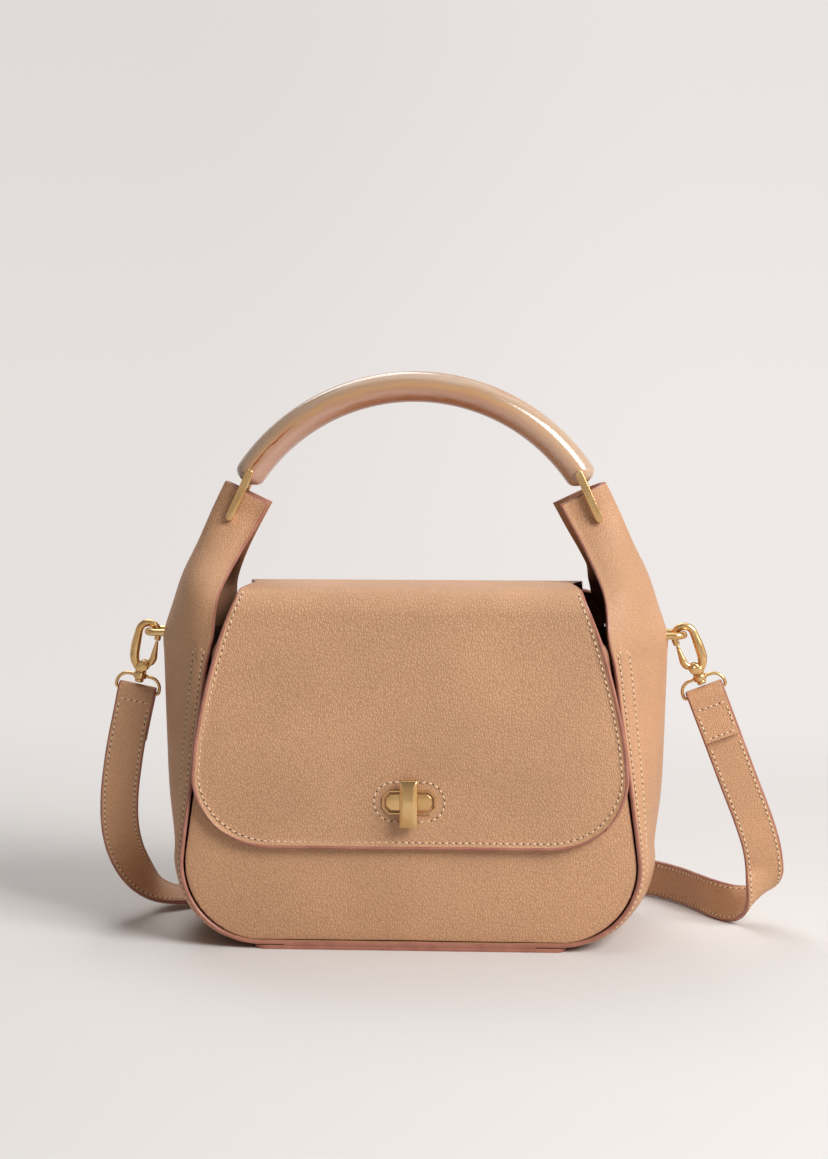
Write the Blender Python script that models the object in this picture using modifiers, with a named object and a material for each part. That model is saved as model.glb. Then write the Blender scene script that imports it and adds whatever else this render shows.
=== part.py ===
"""Small flap handbag with a resin top handle, a turn lock and a clip-on shoulder strap.

The frame is +Z up with the front towards -Y. The origin lies on the ground under the middle of
the base. Lengths are written in millimetres through MM and stored in metres.
"""

from math import acos, atan2, cos, degrees, hypot, pi, radians, sin, sqrt

import bmesh
import bpy
import numpy as np
from mathutils import Matrix, Vector

MM = 0.001

# Leather and clearances
LEATHER = 2.2 * MM
LINING_SKIN = 0.8 * MM
GAP = 0.3 * MM
SEAM_GAP = 0.5 * MM

# Body shell: panels, gussets and base
HALF_DEPTH = 50.0 * MM
PANEL_RECESS = 2.0 * MM
PANEL_BOTTOM_HALF = 118.0 * MM
PANEL_CORNER = 40.0 * MM
SEAM_TOP_HALF = 102.5 * MM
SEAM_TOP_Z = 158.0 * MM
FRONT_PANEL_TOP = 166.0 * MM
FRONT_PANEL_TOP_ROUND = 12.0 * MM
BACK_PANEL_TOP = 181.0 * MM
BASE_STRIP_HALF = 82.0 * MM
BASE_STRIP = 2.0 * MM
GUSSET_FOOT_X = 66.0 * MM
BOARD = 2.0 * MM
BASE_STRIP_CORNER = 6.0 * MM
SIDE_SWELL = 9.0 * MM
SWELL_START = 80.0
SIDE_FOLD = [(132.4, 78.0), (133.7, 106.0), (134.5, 132.0), (135.0, 150.0)]
LINING_TOP = 161.0 * MM
LINING_INSET = 2.8 * MM
LINING_SIDE_GAP = 7.0 * MM
POCKET_WIDTH = 130.0 * MM
POCKET_HEIGHT = 85.0 * MM
POCKET_Z = 60.0 * MM

# Wing above each gusset: pairs of points on its free edge and on its outer fold, both seen from
# the front. The half spread of its two layers starts as shares of the bag's half depth and ends at
# distances inside the handle's links.
WING_EDGE = [(103.0, 163.0), (101.8, 178.0), (99.5, 189.0), (92.5, 204.4), (84.4, 219.0), (77.4, 231.5)]
WING_FOLD = [(135.0, 162.0), (130.0, 178.0), (124.6, 194.0), (116.4, 211.0), (108.6, 228.5), (101.4, 243.4)]
WING_SPREAD_SHARE = [0.98, 0.87, 0.70, 0.38]
WING_INSIDE_LINK = [0.2 * MM, 1.2 * MM]
WING_POWER = [1.5, 1.2, 1.0, 1.0, 0.9, 0.8]

# Flap: its side profile from the back seam over the top, then its front outline
FLAP_CROWN_Y = -22.0 * MM
FLAP_CROWN_Z = 190.6 * MM
FLAP_BEND = 13.0 * MM
FLAP_STAND_OFF = 3.0 * MM
FLAP_FACE_Y = -(HALF_DEPTH + FLAP_STAND_OFF)
FLAP_BACK_HALF = 78.0 * MM
FLAP_WAIST_HALF = 80.0 * MM
FLAP_WAIST_SHARE = 0.55
FLAP_SHOULDER_HALF = 82.0 * MM
FLAP_SHOULDER_SHARE = 0.72
FLAP_BEND_HALF = 90.6 * MM
FLAP_WIDE_HALF = 113.2 * MM
FLAP_WIDE_Z = 93.0 * MM
FLAP_BOTTOM_Z = 55.1 * MM
FLAP_CORNER_X = 41.0 * MM
FLAP_SIDE = [(113.2, 93.0), (111.2, 112.0), (106.0, 137.0), (99.6, 160.6), (94.6, 176.0), (90.6, 186.2)]
FLAP_SPLIT = 135.0
FLAP_SPLIT_GAP = 1.4

# Turn lock
LOCK_Z = 79.6 * MM
LOCK_FRAME = (28.0 * MM, 12.6 * MM)
LOCK_RIM = 1.1 * MM
LOCK_CHAMFER = 3.4 * MM
LOCK_FRAME_PROUD = 1.2 * MM
LOCK_CLEARANCE = 0.7 * MM
LOCK_BACK_FRAME = (40.0 * MM, 24.0 * MM, 0.5 * MM)
LOCK_BASE = (36.0 * MM, 18.0 * MM, 1.2 * MM)
LOCK_BACK_PLATE = (34.0 * MM, 18.0 * MM, 1.0 * MM)
TOGGLE = (9.4 * MM, 24.8 * MM, 7.0 * MM)
TOGGLE_BEVEL = 1.6 * MM
SPINDLE_R = 2.4 * MM

# Top handle and its links
HANDLE_R = 8.2 * MM
HANDLE_ARC_R = 106.4 * MM
LINK_TOP = (87.4 * MM, 247.68 * MM)
LINK_FOOT = (98.0 * MM, 224.4 * MM)
LINK_BAR = (4.2 * MM, 3.0 * MM)
LINK_PIN_R = 1.9 * MM
PIVOT_CLEARANCE = 0.5 * MM
HANDLE_END_PAST = 6.5 * MM
HANDLE_CAP = 6.0 * MM
LINK_SIDE_GAP = 0.6 * MM
SLOT_HALF = 2.6 * MM
SLOT_BELOW = 0.4 * MM
SLOT_ABOVE = 3.0 * MM

# Side loops
LOOP_Z = 161.8 * MM
LOOP_WIRE = 1.9 * MM
LOOP_HALF_WIDTH = 8.0 * MM
LOOP_REACH = 8.6 * MM
LOOP_PLATE_BACK = 4.4 * MM
LOOP_PLATE = (1.4 * MM, 26.0 * MM, 12.0 * MM)

# Snap clips, in their own frame: the swivel axis is +Z and the gate is on the bag's side
CLIP_WIRE = 2.1 * MM
CLIP_HALF_WIDTH = 5.3 * MM
CLIP_HEIGHT = 27.5 * MM
CLIP_BOSS_R = 3.8 * MM
CLIP_BOSS_WIDTH = 7.6 * MM
CLIP_FORK = 3.8 * MM
GATE_WIRE = 1.4 * MM
GATE_PIN_R = 0.8 * MM
PIN_CLEARANCE = 0.25 * MM
GATE_EYE_R = 2.1 * MM
GATE_PIVOT = (-1.7 * MM, 4.6 * MM)
GATE_TIP_GAP = 0.8 * MM
GATE_TIP_SHARE = 0.6
CLIP_BOSS_Z = 4.4 * MM
HOOK_ROOT = -74.0
HOOK_TIP_Z = 19.4 * MM
COLLAR_R = 3.7 * MM
COLLAR_HEIGHT = 3.2 * MM
POST_R = 1.7 * MM
POST_HEAD_R = 2.5 * MM
POST_HEAD_Z = -3.5 * MM
POST_HEAD = 1.8 * MM
DRING_WIRE = 0.9 * MM
DRING_WIDTH = 25.4 * MM
DRING_CORNER = 1.8 * MM
DRING_SHOULDER = 6.0 * MM
DRING_DROP = 8.6 * MM
LEFT_TILT = 12.0
RIGHT_TILT = 21.0

# Strap
STRAP_WIDTH = 20.6 * MM
STRAP_THICK = 2.6 * MM
STRAP_FOLD_LENGTH = 26.0 * MM
STRAP_FACE_GAP = 0.4 * MM
STRAP_STEP = 6.0 * MM

# The strap's free route: places and directions across its width, in millimetres, chosen by hand.
# It drops from the left clip to the ground, stands on its edge behind the bag in three runs,
# comes out at the right, rolls over once and rises to the right clip.
STRAP_ROUTE = [
    ((-158.4, -1.2, 90.0), (1.00, 0.06, 0.00)),
    ((-161.2, 2.0, 70.0), (0.99, 0.15, 0.02)),
    ((-161.8, 8.0, 51.0), (0.96, 0.28, 0.08)),
    ((-159.0, 17.0, 34.0), (0.87, 0.46, 0.17)),
    ((-152.5, 28.0, 20.0), (0.68, 0.70, 0.22)),
    ((-142.0, 40.0, 9.8), (0.38, 0.90, 0.22)),
    ((-127.0, 52.0, 5.6), (0.02, 0.92, 0.38)),
    ((-108.0, 60.0, 8.6), (-0.16, 0.52, 0.84)),
    ((-86.0, 63.5, 10.9), (0.00, 0.06, 1.00)),
    ((-40.0, 64.0, 10.9), (0.00, 0.00, 1.00)),
    ((15.0, 64.0, 10.9), (0.00, 0.00, 1.00)),
    ((70.0, 64.0, 10.9), (0.00, 0.00, 1.00)),
    ((86.0, 68.0, 10.9), (0.00, 0.00, 1.00)),
    ((90.0, 74.5, 10.9), (0.00, 0.00, 1.00)),
    ((84.0, 80.5, 10.9), (0.00, 0.00, 1.00)),
    ((66.0, 83.0, 10.9), (0.00, 0.00, 1.00)),
    ((10.0, 83.0, 10.9), (0.00, 0.00, 1.00)),
    ((-60.0, 83.0, 10.9), (0.00, 0.00, 1.00)),
    ((-80.0, 86.0, 10.9), (0.00, 0.00, 1.00)),
    ((-86.0, 92.5, 10.9), (0.00, 0.00, 1.00)),
    ((-80.0, 99.0, 10.9), (0.00, 0.00, 1.00)),
    ((-60.0, 102.0, 10.9), (0.00, 0.00, 1.00)),
    ((0.0, 103.0, 10.9), (0.00, 0.00, 1.00)),
    ((70.0, 103.0, 10.9), (0.00, 0.00, 1.00)),
    ((108.0, 97.0, 10.9), (0.00, 0.00, 1.00)),
    ((131.0, 84.0, 10.9), (0.00, 0.00, 1.00)),
    ((146.0, 66.0, 10.9), (0.00, 0.00, 1.00)),
    ((155.5, 49.0, 10.9), (0.00, 0.02, 1.00)),
    ((162.6, 35.5, 10.8), (0.02, 0.16, 0.99)),
]
STRAP_RISE = [
    ((186.4, 3.2, 48.0), (0.99, 0.00, 0.14)),
    ((181.2, 2.4, 64.0), (0.96, 0.00, 0.27)),
    ((173.4, 1.9, 84.0), (0.94, 0.00, 0.35)),
]

# The roll between them: the strap winds once over a slanting axis of this radius
STRAP_ROLL_START = (188.6, 5.2, 35.4)
STRAP_ROLL_R = 11.5
STRAP_ROLL_TURN = 150.0


def material(name, color, roughness, metallic=0.0):
    """Principled material with one plain colour."""
    made = bpy.data.materials.new(name)
    made.use_nodes = True
    shader = made.node_tree.nodes["Principled BSDF"]
    shader.inputs["Base Color"].default_value = (*color, 1.0)
    shader.inputs["Roughness"].default_value = roughness
    shader.inputs["Metallic"].default_value = metallic
    return made


def add_object(name, mesh, finish=None, cutter=False):
    """Link a mesh as a part, or as a hidden cutter when it has no finish."""
    made = bpy.data.objects.new(name, mesh)
    if finish is not None:
        mesh.materials.clear()
        mesh.materials.append(finish)
    if cutter:
        made.hide_render = True
        made.display_type = "WIRE"
    (CUTTERS if cutter else PARTS).objects.link(made)
    return made


def smooth(made, angle=40.0):
    """Shade round faces smooth and keep edges sharper than the angle."""
    made.data.shade_smooth()
    made.data.set_sharp_from_angle(angle=radians(angle))
    return made


def mesh_from_bmesh(name, build):
    """Run a bmesh building function and store its result."""
    grid = bmesh.new()
    build(grid)
    mesh = bpy.data.meshes.new(name)
    grid.to_mesh(mesh)
    grid.free()
    return mesh


def box(name, low, high, finish=None, cutter=False, bevel=0.0):
    """Axis-aligned box between two corners, with an optional small bevel."""
    low, high = Vector(low), Vector(high)

    def build(grid):
        bmesh.ops.create_cube(grid, size=1.0)
        bmesh.ops.scale(grid, vec=high - low, verts=grid.verts)
        bmesh.ops.translate(grid, vec=(low + high) / 2.0, verts=grid.verts)

    made = add_object(name, mesh_from_bmesh(name, build), finish, cutter)
    if bevel:
        add_bevel(made, bevel)
    return made


def cylinder(name, radius, start, end, finish=None, cutter=False, sides=20):
    """Closed cylinder between two points."""
    start, end = Vector(start), Vector(end)
    axis = end - start
    turn = axis.to_track_quat("Z", "Y").to_matrix().to_4x4()

    def build(grid):
        bmesh.ops.create_cone(
            grid, cap_ends=True, segments=sides, radius1=radius, radius2=radius, depth=axis.length
        )
        bmesh.ops.transform(grid, matrix=Matrix.Translation((start + end) / 2.0) @ turn, verts=grid.verts)

    return smooth(add_object(name, mesh_from_bmesh(name, build), finish, cutter), 50.0)


def curve_to_mesh(name, curve_object, finish=None, cutter=False):
    """Turn a curve object into a welded closed mesh and remove the curve."""
    bpy.context.view_layer.update()
    graph = bpy.context.evaluated_depsgraph_get()
    mesh = bpy.data.meshes.new_from_object(curve_object.evaluated_get(graph))
    mesh.transform(curve_object.matrix_world)
    grid = bmesh.new()
    grid.from_mesh(mesh)
    bmesh.ops.remove_doubles(grid, verts=grid.verts, dist=1e-6)
    bmesh.ops.recalc_face_normals(grid, faces=grid.faces)
    grid.to_mesh(mesh)
    grid.free()
    bpy.data.objects.remove(curve_object)
    mesh.name = name
    return add_object(name, mesh, finish, cutter)


def tube(name, points, radius, finish=None, cutter=False, closed=False, sizes=None, resolution=2):
    """Round bar along a list of points; sizes scales the radius at each point."""
    curve = bpy.data.curves.new(name, "CURVE")
    curve.dimensions = "3D"
    curve.bevel_depth = radius
    curve.bevel_resolution = resolution
    curve.use_fill_caps = not closed
    spline = curve.splines.new("POLY")
    spline.points.add(len(points) - 1)
    for index, point in enumerate(points):
        spline.points[index].co = (*point, 1.0)
        spline.points[index].radius = 1.0 if sizes is None else sizes[index]
    spline.use_cyclic_u = closed
    holder = bpy.data.objects.new(name + "_curve", curve)
    CUTTERS.objects.link(holder)
    return smooth(curve_to_mesh(name, holder, finish, cutter), 60.0)


def plate(name, outline, low, high, upright=True, finish=None, cutter=False):
    """Flat plate of an outline: upright in XZ between two y values, or lying between two z values."""
    curve = bpy.data.curves.new(name, "CURVE")
    curve.dimensions = "2D"
    curve.fill_mode = "BOTH"
    curve.extrude = (high - low) / 2.0
    spline = curve.splines.new("POLY")
    spline.points.add(len(outline) - 1)
    for index, (across, along) in enumerate(outline):
        spline.points[index].co = (across, along, 0.0, 1.0)
    spline.use_cyclic_u = True
    holder = bpy.data.objects.new(name + "_outline", curve)
    CUTTERS.objects.link(holder)
    middle = (low + high) / 2.0
    if upright:
        holder.rotation_euler = (pi / 2.0, 0.0, 0.0)
        holder.location = (0.0, middle, 0.0)
    else:
        holder.location = (0.0, 0.0, middle)
    return curve_to_mesh(name, holder, finish, cutter)


def grid_mesh(name, rows, wrap=False, cap_first=False, cap_last=False):
    """Mesh of quads over rows of points; wrap joins each row's ends, caps close the end rows."""
    rows = np.asarray(rows)
    count, across = rows.shape[:2]
    spans = across if wrap else across - 1
    faces = []
    for i in range(count - 1):
        for j in range(spans):
            k = (j + 1) % across
            faces.append((i * across + j, i * across + k, (i + 1) * across + k, (i + 1) * across + j))
    if cap_first:
        faces.append(tuple(range(across - 1, -1, -1)))
    if cap_last:
        faces.append(tuple(range((count - 1) * across, count * across)))
    mesh = bpy.data.meshes.new(name)
    mesh.from_pydata(rows.reshape(-1, 3).tolist(), [], faces)
    return mesh


def add_solidify(made, thickness, offset=-1.0):
    """Give an open surface its thickness, inwards unless told otherwise."""
    wall = made.modifiers.new("wall", "SOLIDIFY")
    wall.thickness = thickness
    wall.offset = offset
    wall.use_even_offset = True
    wall.use_rim = True
    return made


def add_bevel(made, width, segments=2, angle=35.0):
    """Round the sharp edges."""
    edge = made.modifiers.new("edge", "BEVEL")
    edge.width = width
    edge.segments = segments
    edge.limit_method = "ANGLE"
    edge.angle_limit = radians(angle)
    return made


def add_boolean(made, tool, operation):
    """Cut or join with a hidden tool object, using the exact solver."""
    step = made.modifiers.new(operation.lower(), "BOOLEAN")
    step.operation = operation
    step.solver = "EXACT"
    step.object = tool
    return made


def smooth_path(points, spacing):
    """Points about one spacing apart on a Catmull-Rom curve through the given ones."""
    points = np.asarray(points, dtype=float)
    padded = np.vstack([2 * points[0] - points[1], points, 2 * points[-1] - points[-2]])
    path = []
    for before, start, end, after in zip(padded, padded[1:], padded[2:], padded[3:]):
        steps = max(2, int(round(np.linalg.norm((end - start)[:3]) / spacing)))
        for step in range(steps):
            t = step / steps
            path.append(
                0.5
                * (
                    2 * start
                    + (end - before) * t
                    + (2 * before - 5 * start + 4 * end - after) * t**2
                    + (3 * start - before - 3 * end + after) * t**3
                )
            )
    path.append(points[-1])
    return np.array(path)


def arc(centre, radii, start, end, steps):
    """Points on an ellipse arc between two angles in degrees."""
    return [
        (
            centre[0] + radii[0] * cos(radians(start + (end - start) * i / steps)),
            centre[1] + radii[1] * sin(radians(start + (end - start) * i / steps)),
        )
        for i in range(steps + 1)
    ]


def octagon(size, chamfer, centre=(0.0, 0.0)):
    """Rectangle with cut corners."""
    half_x, half_z = size[0] / 2.0, size[1] / 2.0
    corners = [
        (half_x - chamfer, -half_z),
        (half_x, -half_z + chamfer),
        (half_x, half_z - chamfer),
        (half_x - chamfer, half_z),
    ]
    ring = corners + [(-x, z) for x, z in reversed(corners)]
    return [(centre[0] + x, centre[1] + z) for x, z in ring]


# Heights and planes that follow from the driving sizes
GUSSET_FOOT_Z = BASE_STRIP + GAP
PANEL_Z = GUSSET_FOOT_Z + LEATHER + SEAM_GAP
PANEL_FACE = HALF_DEPTH - PANEL_RECESS
PANEL_INNER = PANEL_FACE - LEATHER
CORNER_X = PANEL_BOTTOM_HALF - PANEL_CORNER
CORNER_Z = PANEL_Z + PANEL_CORNER
SEAM_OFFSET = LEATHER + SEAM_GAP
LINING_FACE = PANEL_INNER - 1.8 * MM
LINING_FLOOR = PANEL_Z + BOARD + GAP


def corner_tangent():
    """Angle on the bottom corner at which the panel's straight side touches it, in degrees."""
    dx, dz = SEAM_TOP_HALF - CORNER_X, SEAM_TOP_Z - CORNER_Z
    return degrees(atan2(dz, dx) - acos(PANEL_CORNER / hypot(dx, dz)))


def panel_half(z, inset=0.0):
    """Half width of the panel at a height, with the outline moved inwards by the inset."""
    angle = radians(corner_tangent())
    radius = PANEL_CORNER - inset
    touch_z = CORNER_Z + radius * sin(angle)
    if z < touch_z:
        rise = min(radius, CORNER_Z - z) if z < CORNER_Z else CORNER_Z - z
        return CORNER_X + sqrt(max(0.0, radius**2 - rise**2))
    return CORNER_X + radius * cos(angle) - (z - touch_z) * sin(angle) / cos(angle)


def panel_outline(right_top):
    """Closed outline of a panel whose right side ends in the given points, bottom to top."""
    right = arc((CORNER_X, CORNER_Z), (PANEL_CORNER, PANEL_CORNER), -90.0, corner_tangent(), 10)
    right = right + right_top
    return right + [(-x, z) for x, z in reversed(right)]


def front_panel():
    """Front leather with rounded top corners, holed for the lock's spindle."""
    turn = FRONT_PANEL_TOP_ROUND
    low = FRONT_PANEL_TOP - turn
    top = arc((panel_half(low) - turn, low), (turn, turn), 0.0, 90.0, 5)
    made = plate("front_panel", panel_outline(top), -PANEL_FACE, -PANEL_INNER, finish=TAN_LEATHER)
    hole = cylinder(
        "front_panel_hole",
        SPINDLE_R + GAP,
        (0, -PANEL_FACE - LEATHER, LOCK_Z),
        (0, -PANEL_INNER + LEATHER, LOCK_Z),
        cutter=True,
    )
    return add_boolean(made, hole, "DIFFERENCE")


def back_panel():
    """Back leather, whose shoulders narrow to the flap that goes on over the top."""
    shoulder_x, shoulder_z = panel_half(SEAM_TOP_Z), SEAM_TOP_Z
    reach = (shoulder_x - FLAP_BACK_HALF, BACK_PANEL_TOP - shoulder_z)
    top = arc((FLAP_BACK_HALF, shoulder_z), reach, 0.0, 78.0, 6)
    top.append((FLAP_BACK_HALF, BACK_PANEL_TOP))
    return plate("back_panel", panel_outline(top), PANEL_INNER, PANEL_FACE, finish=TAN_LEATHER)


def gusset_stations():
    """Stations up the gusset: edge x and z, fold x and z, half spread, and roundness of the section."""
    stations = [
        (GUSSET_FOOT_X, GUSSET_FOOT_Z, GUSSET_FOOT_X, GUSSET_FOOT_Z, HALF_DEPTH, 2.0),
        (CORNER_X - 4 * MM, GUSSET_FOOT_Z, CORNER_X - 4 * MM, GUSSET_FOOT_Z, HALF_DEPTH, 2.0),
    ]
    radius = PANEL_CORNER + SEAM_OFFSET
    for angle in np.linspace(-86.0, corner_tangent(), 9):
        swell = SIDE_SWELL * (1.0 - min(1.0, -min(angle, 0.0) / SWELL_START) ** 3)
        x, z = cos(radians(angle)), sin(radians(angle))
        stations.append(
            (
                CORNER_X + radius * x,
                CORNER_Z + radius * z,
                CORNER_X + (radius + swell) * x,
                CORNER_Z + (radius + swell) * z,
                HALF_DEPTH,
                2.0,
            )
        )
    for fold_x, fold_z in SIDE_FOLD:
        stations.append(
            (panel_half(fold_z * MM) + SEAM_OFFSET, fold_z * MM, fold_x * MM, fold_z * MM, HALF_DEPTH, 2.0)
        )
    spreads = [share * HALF_DEPTH for share in WING_SPREAD_SHARE]
    spreads += [HANDLE_R + LINK_SIDE_GAP - inside for inside in WING_INSIDE_LINK]
    for edge, fold, spread, power in zip(WING_EDGE, WING_FOLD, spreads, WING_POWER):
        stations.append((edge[0] * MM, edge[1] * MM, fold[0] * MM, fold[1] * MM, spread, power))
    return stations


def gusset_grid(sections, across):
    """Right gusset's outer surface: each section swells from its edges to the fold at mid depth.

    Along a section the angle a runs from -90 to 90 degrees. The depth is the half spread times
    sin(a), and the place moves from the edge to the fold by cos(a) to the station's power.
    """
    stations = np.array(gusset_stations())
    steps = np.linspace(0.0, len(stations) - 1.0, sections)
    dense = smooth_path(stations / MM, 3.0) * MM
    length = np.concatenate([[0.0], np.cumsum(np.linalg.norm(np.diff(dense[:, :2], axis=0), axis=1))])
    at = np.linspace(0.0, length[-1], len(steps))
    edge_x, edge_z, fold_x, fold_z, spread, power = (np.interp(at, length, dense[:, k]) for k in range(6))
    angle = np.linspace(-pi / 2.0, pi / 2.0, across)[None, :]
    share = np.clip(np.cos(angle), 0.0, 1.0) ** power[:, None]
    x = edge_x[:, None] + (fold_x - edge_x)[:, None] * share
    z = edge_z[:, None] + (fold_z - edge_z)[:, None] * share
    y = spread[:, None] * np.sin(angle)
    return np.stack([x, y, z], axis=2)


def gusset(side, name):
    """One gusset with its wing: a leather strip from under the base up to the handle's link."""
    rows = gusset_grid(32, 15)
    rows[:, :, 0] *= side
    if side < 0:
        rows = rows[:, ::-1]
    made = smooth(add_object(name, grid_mesh(name, rows), TAN_LEATHER), 60.0)
    add_solidify(made, LEATHER)
    foot = Vector((side * LINK_FOOT[0], 0.0, LINK_FOOT[1]))
    lean = Vector((LINK_TOP[0] - LINK_FOOT[0], 0.0, LINK_TOP[1] - LINK_FOOT[1])).normalized()
    lean.x *= side
    slot = stadium(foot - lean * SLOT_BELOW, foot + lean * SLOT_ABOVE, SLOT_HALF)
    add_boolean(made, plate(name + "_slot", slot, -HALF_DEPTH, HALF_DEPTH, cutter=True), "DIFFERENCE")
    for end in (-1, 1):
        leg = cylinder(
            f"{name}_loop_hole_{end + 1}",
            LOOP_WIRE + GAP,
            (side * loop_plate_x(), end * LOOP_HALF_WIDTH, LOOP_Z),
            (side * (loop_outer_x() + LOOP_REACH), end * LOOP_HALF_WIDTH, LOOP_Z),
            cutter=True,
            sides=16,
        )
        add_boolean(made, leg, "DIFFERENCE")
    return made


def stadium(start, end, half_width, steps=6):
    """Outline in XZ of a slot with round ends between two points."""
    direction = (end - start).normalized()
    across = Vector((-direction.z, 0.0, direction.x))
    outline = []
    for centre, turn in ((end, 1.0), (start, -1.0)):
        for i in range(steps + 1):
            angle = pi * i / steps
            point = centre + (-across * turn * cos(angle) + direction * turn * sin(angle)) * half_width
            outline.append((point.x, point.z))
    return outline


def base_panel():
    """Leather base strip, thicker between the gusset feet."""
    corner = BASE_STRIP_CORNER
    outline = octagon((2 * BASE_STRIP_HALF, 2 * HALF_DEPTH), corner)
    made = plate("base_panel", outline, 0.0, BASE_STRIP, upright=False, finish=TAN_LEATHER)
    middle = GUSSET_FOOT_X - GAP
    raised = box(
        "base_panel_middle",
        (-middle, -HALF_DEPTH, BASE_STRIP / 2.0),
        (middle, HALF_DEPTH, GUSSET_FOOT_Z + LEATHER),
        cutter=True,
    )
    return add_boolean(made, raised, "UNION")


def base_board():
    """Stiffening board inside, on top of the base and the gusset feet."""
    half_x = BASE_STRIP_HALF - BOARD
    return box(
        "base_board",
        (-half_x, -LINING_FACE, PANEL_Z),
        (half_x, LINING_FACE, PANEL_Z + BOARD),
        finish=BOARD_FIBRE,
        bevel=0.5 * MM,
    )


def lining():
    """Open-topped fabric lining: rings with straight front and back and swollen ends."""
    fold = np.array([(s[2], s[3]) for s in gusset_stations()])
    fold = fold[1:-3]
    levels = [LINING_FLOOR, 11.0, 16.0, 24.0, 36.0, 56.0, 90.0, 125.0, LINING_TOP / MM]
    levels = [levels[0]] + [z * MM for z in levels[1:]]
    rings = []
    for z in levels:
        half = panel_half(z, LINING_INSET)
        end = np.interp(z, fold[:, 1], fold[:, 0]) - LEATHER - LINING_SIDE_GAP
        swell = max(1.0 * MM, end - half)
        side = np.linspace(-1.0, 1.0, 9)
        right = [(half + swell * (1.0 - s * s), s * LINING_FACE, z) for s in side]
        left = [(-x, -y, level) for x, y, level in right]
        rings.append(right + left)
    made = add_object("lining", grid_mesh("lining", rings, wrap=True, cap_first=True), LINING_FABRIC)
    return add_solidify(smooth(made), LINING_SKIN)


def slip_pocket():
    """Flat pocket on the lining's back wall."""
    outer = LINING_FACE - LINING_SKIN - GAP
    return box(
        "slip_pocket",
        (-POCKET_WIDTH / 2.0, outer - LINING_SKIN, POCKET_Z),
        (POCKET_WIDTH / 2.0, outer, POCKET_Z + POCKET_HEIGHT),
        finish=LINING_FABRIC,
        bevel=0.2 * MM,
    )


def flap_top_z(y):
    """Height of the flap's top surface, a low crown that falls away towards the back seam."""
    back_z = BACK_PANEL_TOP + GAP + LEATHER
    drop = (FLAP_CROWN_Z - back_z) / (flap_back_y() - FLAP_CROWN_Y) ** 2
    return FLAP_CROWN_Z - drop * (y - FLAP_CROWN_Y) ** 2


def flap_back_y():
    """Where the flap's top starts, flush with the back panel."""
    return PANEL_FACE


def flap_back_axis():
    """Hinge line of the flap's top, along the back panel's upper edge."""
    return 0.0, flap_back_y(), BACK_PANEL_TOP + GAP / 2.0


def flap_bend_centre():
    """Centre of the round bend between the flap's top and front."""
    y = FLAP_FACE_Y + FLAP_BEND
    return y, flap_top_z(y) - FLAP_BEND


def flap_bend_point(angle):
    """Point on the outer side of the bend; 90 degrees is its top and 180 its front."""
    y, z = flap_bend_centre()
    return y + FLAP_BEND * cos(radians(angle)), z + FLAP_BEND * sin(radians(angle))


def flap_rows(profile, across):
    """Rows of points across the flap for a profile of (y, z, half width)."""
    share = np.linspace(1.0, -1.0, across)
    return [[(half * s, y, z) for s in share] for y, z, half in profile]


def flap_top():
    """Top part of the flap, from the back seam to the middle of the bend."""
    shares = np.linspace(0.0, 1.0, 8)
    ys = flap_back_y() + (flap_bend_centre()[0] - flap_back_y()) * shares
    halves = np.interp(
        shares,
        [0.0, FLAP_WAIST_SHARE, FLAP_SHOULDER_SHARE, 1.0],
        [FLAP_BACK_HALF, FLAP_WAIST_HALF, FLAP_SHOULDER_HALF, FLAP_BEND_HALF - 2 * MM],
    )
    profile = [(y, flap_top_z(y), half) for y, half in zip(ys, halves)]
    for angle in (106.0, 120.0, FLAP_SPLIT - 4.0, FLAP_SPLIT - FLAP_SPLIT_GAP):
        y, z = flap_bend_point(angle)
        profile.append((y, z, FLAP_BEND_HALF - 2 * MM * (FLAP_SPLIT - angle) / 45.0))
    made = add_object("flap_top", grid_mesh("flap_top", flap_rows(profile, 9)), TAN_LEATHER)
    return add_solidify(smooth(made, 60.0), LEATHER)


def flap_front_half(z):
    """Half width of the flap's front above its rounded corners."""
    return np.interp(z, [p[1] * MM for p in FLAP_SIDE], [p[0] * MM for p in FLAP_SIDE])


def flap_front():
    """Front of the flap with round lower corners and the opening for the lock."""
    profile = []
    for angle in (FLAP_SPLIT + FLAP_SPLIT_GAP, FLAP_SPLIT + 4.0, 150.0, 165.0, 180.0):
        y, z = flap_bend_point(angle)
        profile.append((y, z, flap_front_half(z)))
    for z in np.linspace(profile[-1][1], FLAP_WIDE_Z, 7)[1:-1]:
        profile.append((FLAP_FACE_Y, z, flap_front_half(z)))
    corner = (FLAP_WIDE_HALF - FLAP_CORNER_X, FLAP_WIDE_Z)
    for x, z in arc(corner, (FLAP_CORNER_X, FLAP_WIDE_Z - FLAP_BOTTOM_Z), 0.0, -90.0, 9):
        profile.append((FLAP_FACE_Y, z, x))
    made = add_object("flap_front", grid_mesh("flap_front", flap_rows(profile, 9)), TAN_LEATHER)
    add_solidify(smooth(made, 60.0), LEATHER)
    clear = (LOCK_FRAME[0] + 2 * GAP, LOCK_FRAME[1] + 2 * GAP)
    opening = plate(
        "flap_lock_opening",
        octagon(clear, LOCK_CHAMFER, (0.0, LOCK_Z)),
        FLAP_FACE_Y - LEATHER,
        FLAP_FACE_Y + 2 * LEATHER,
        cutter=True,
    )
    return add_boolean(made, opening, "DIFFERENCE")


def lock_opening(name, low, high):
    """Cutter for the opening inside the lock's frame."""
    size = (LOCK_FRAME[0] - 2 * LOCK_RIM, LOCK_FRAME[1] - 2 * LOCK_RIM)
    outline = octagon(size, LOCK_CHAMFER - LOCK_RIM * 0.6, (0.0, LOCK_Z))
    return plate(name, outline, low - LEATHER, high + LEATHER, cutter=True)


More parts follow.
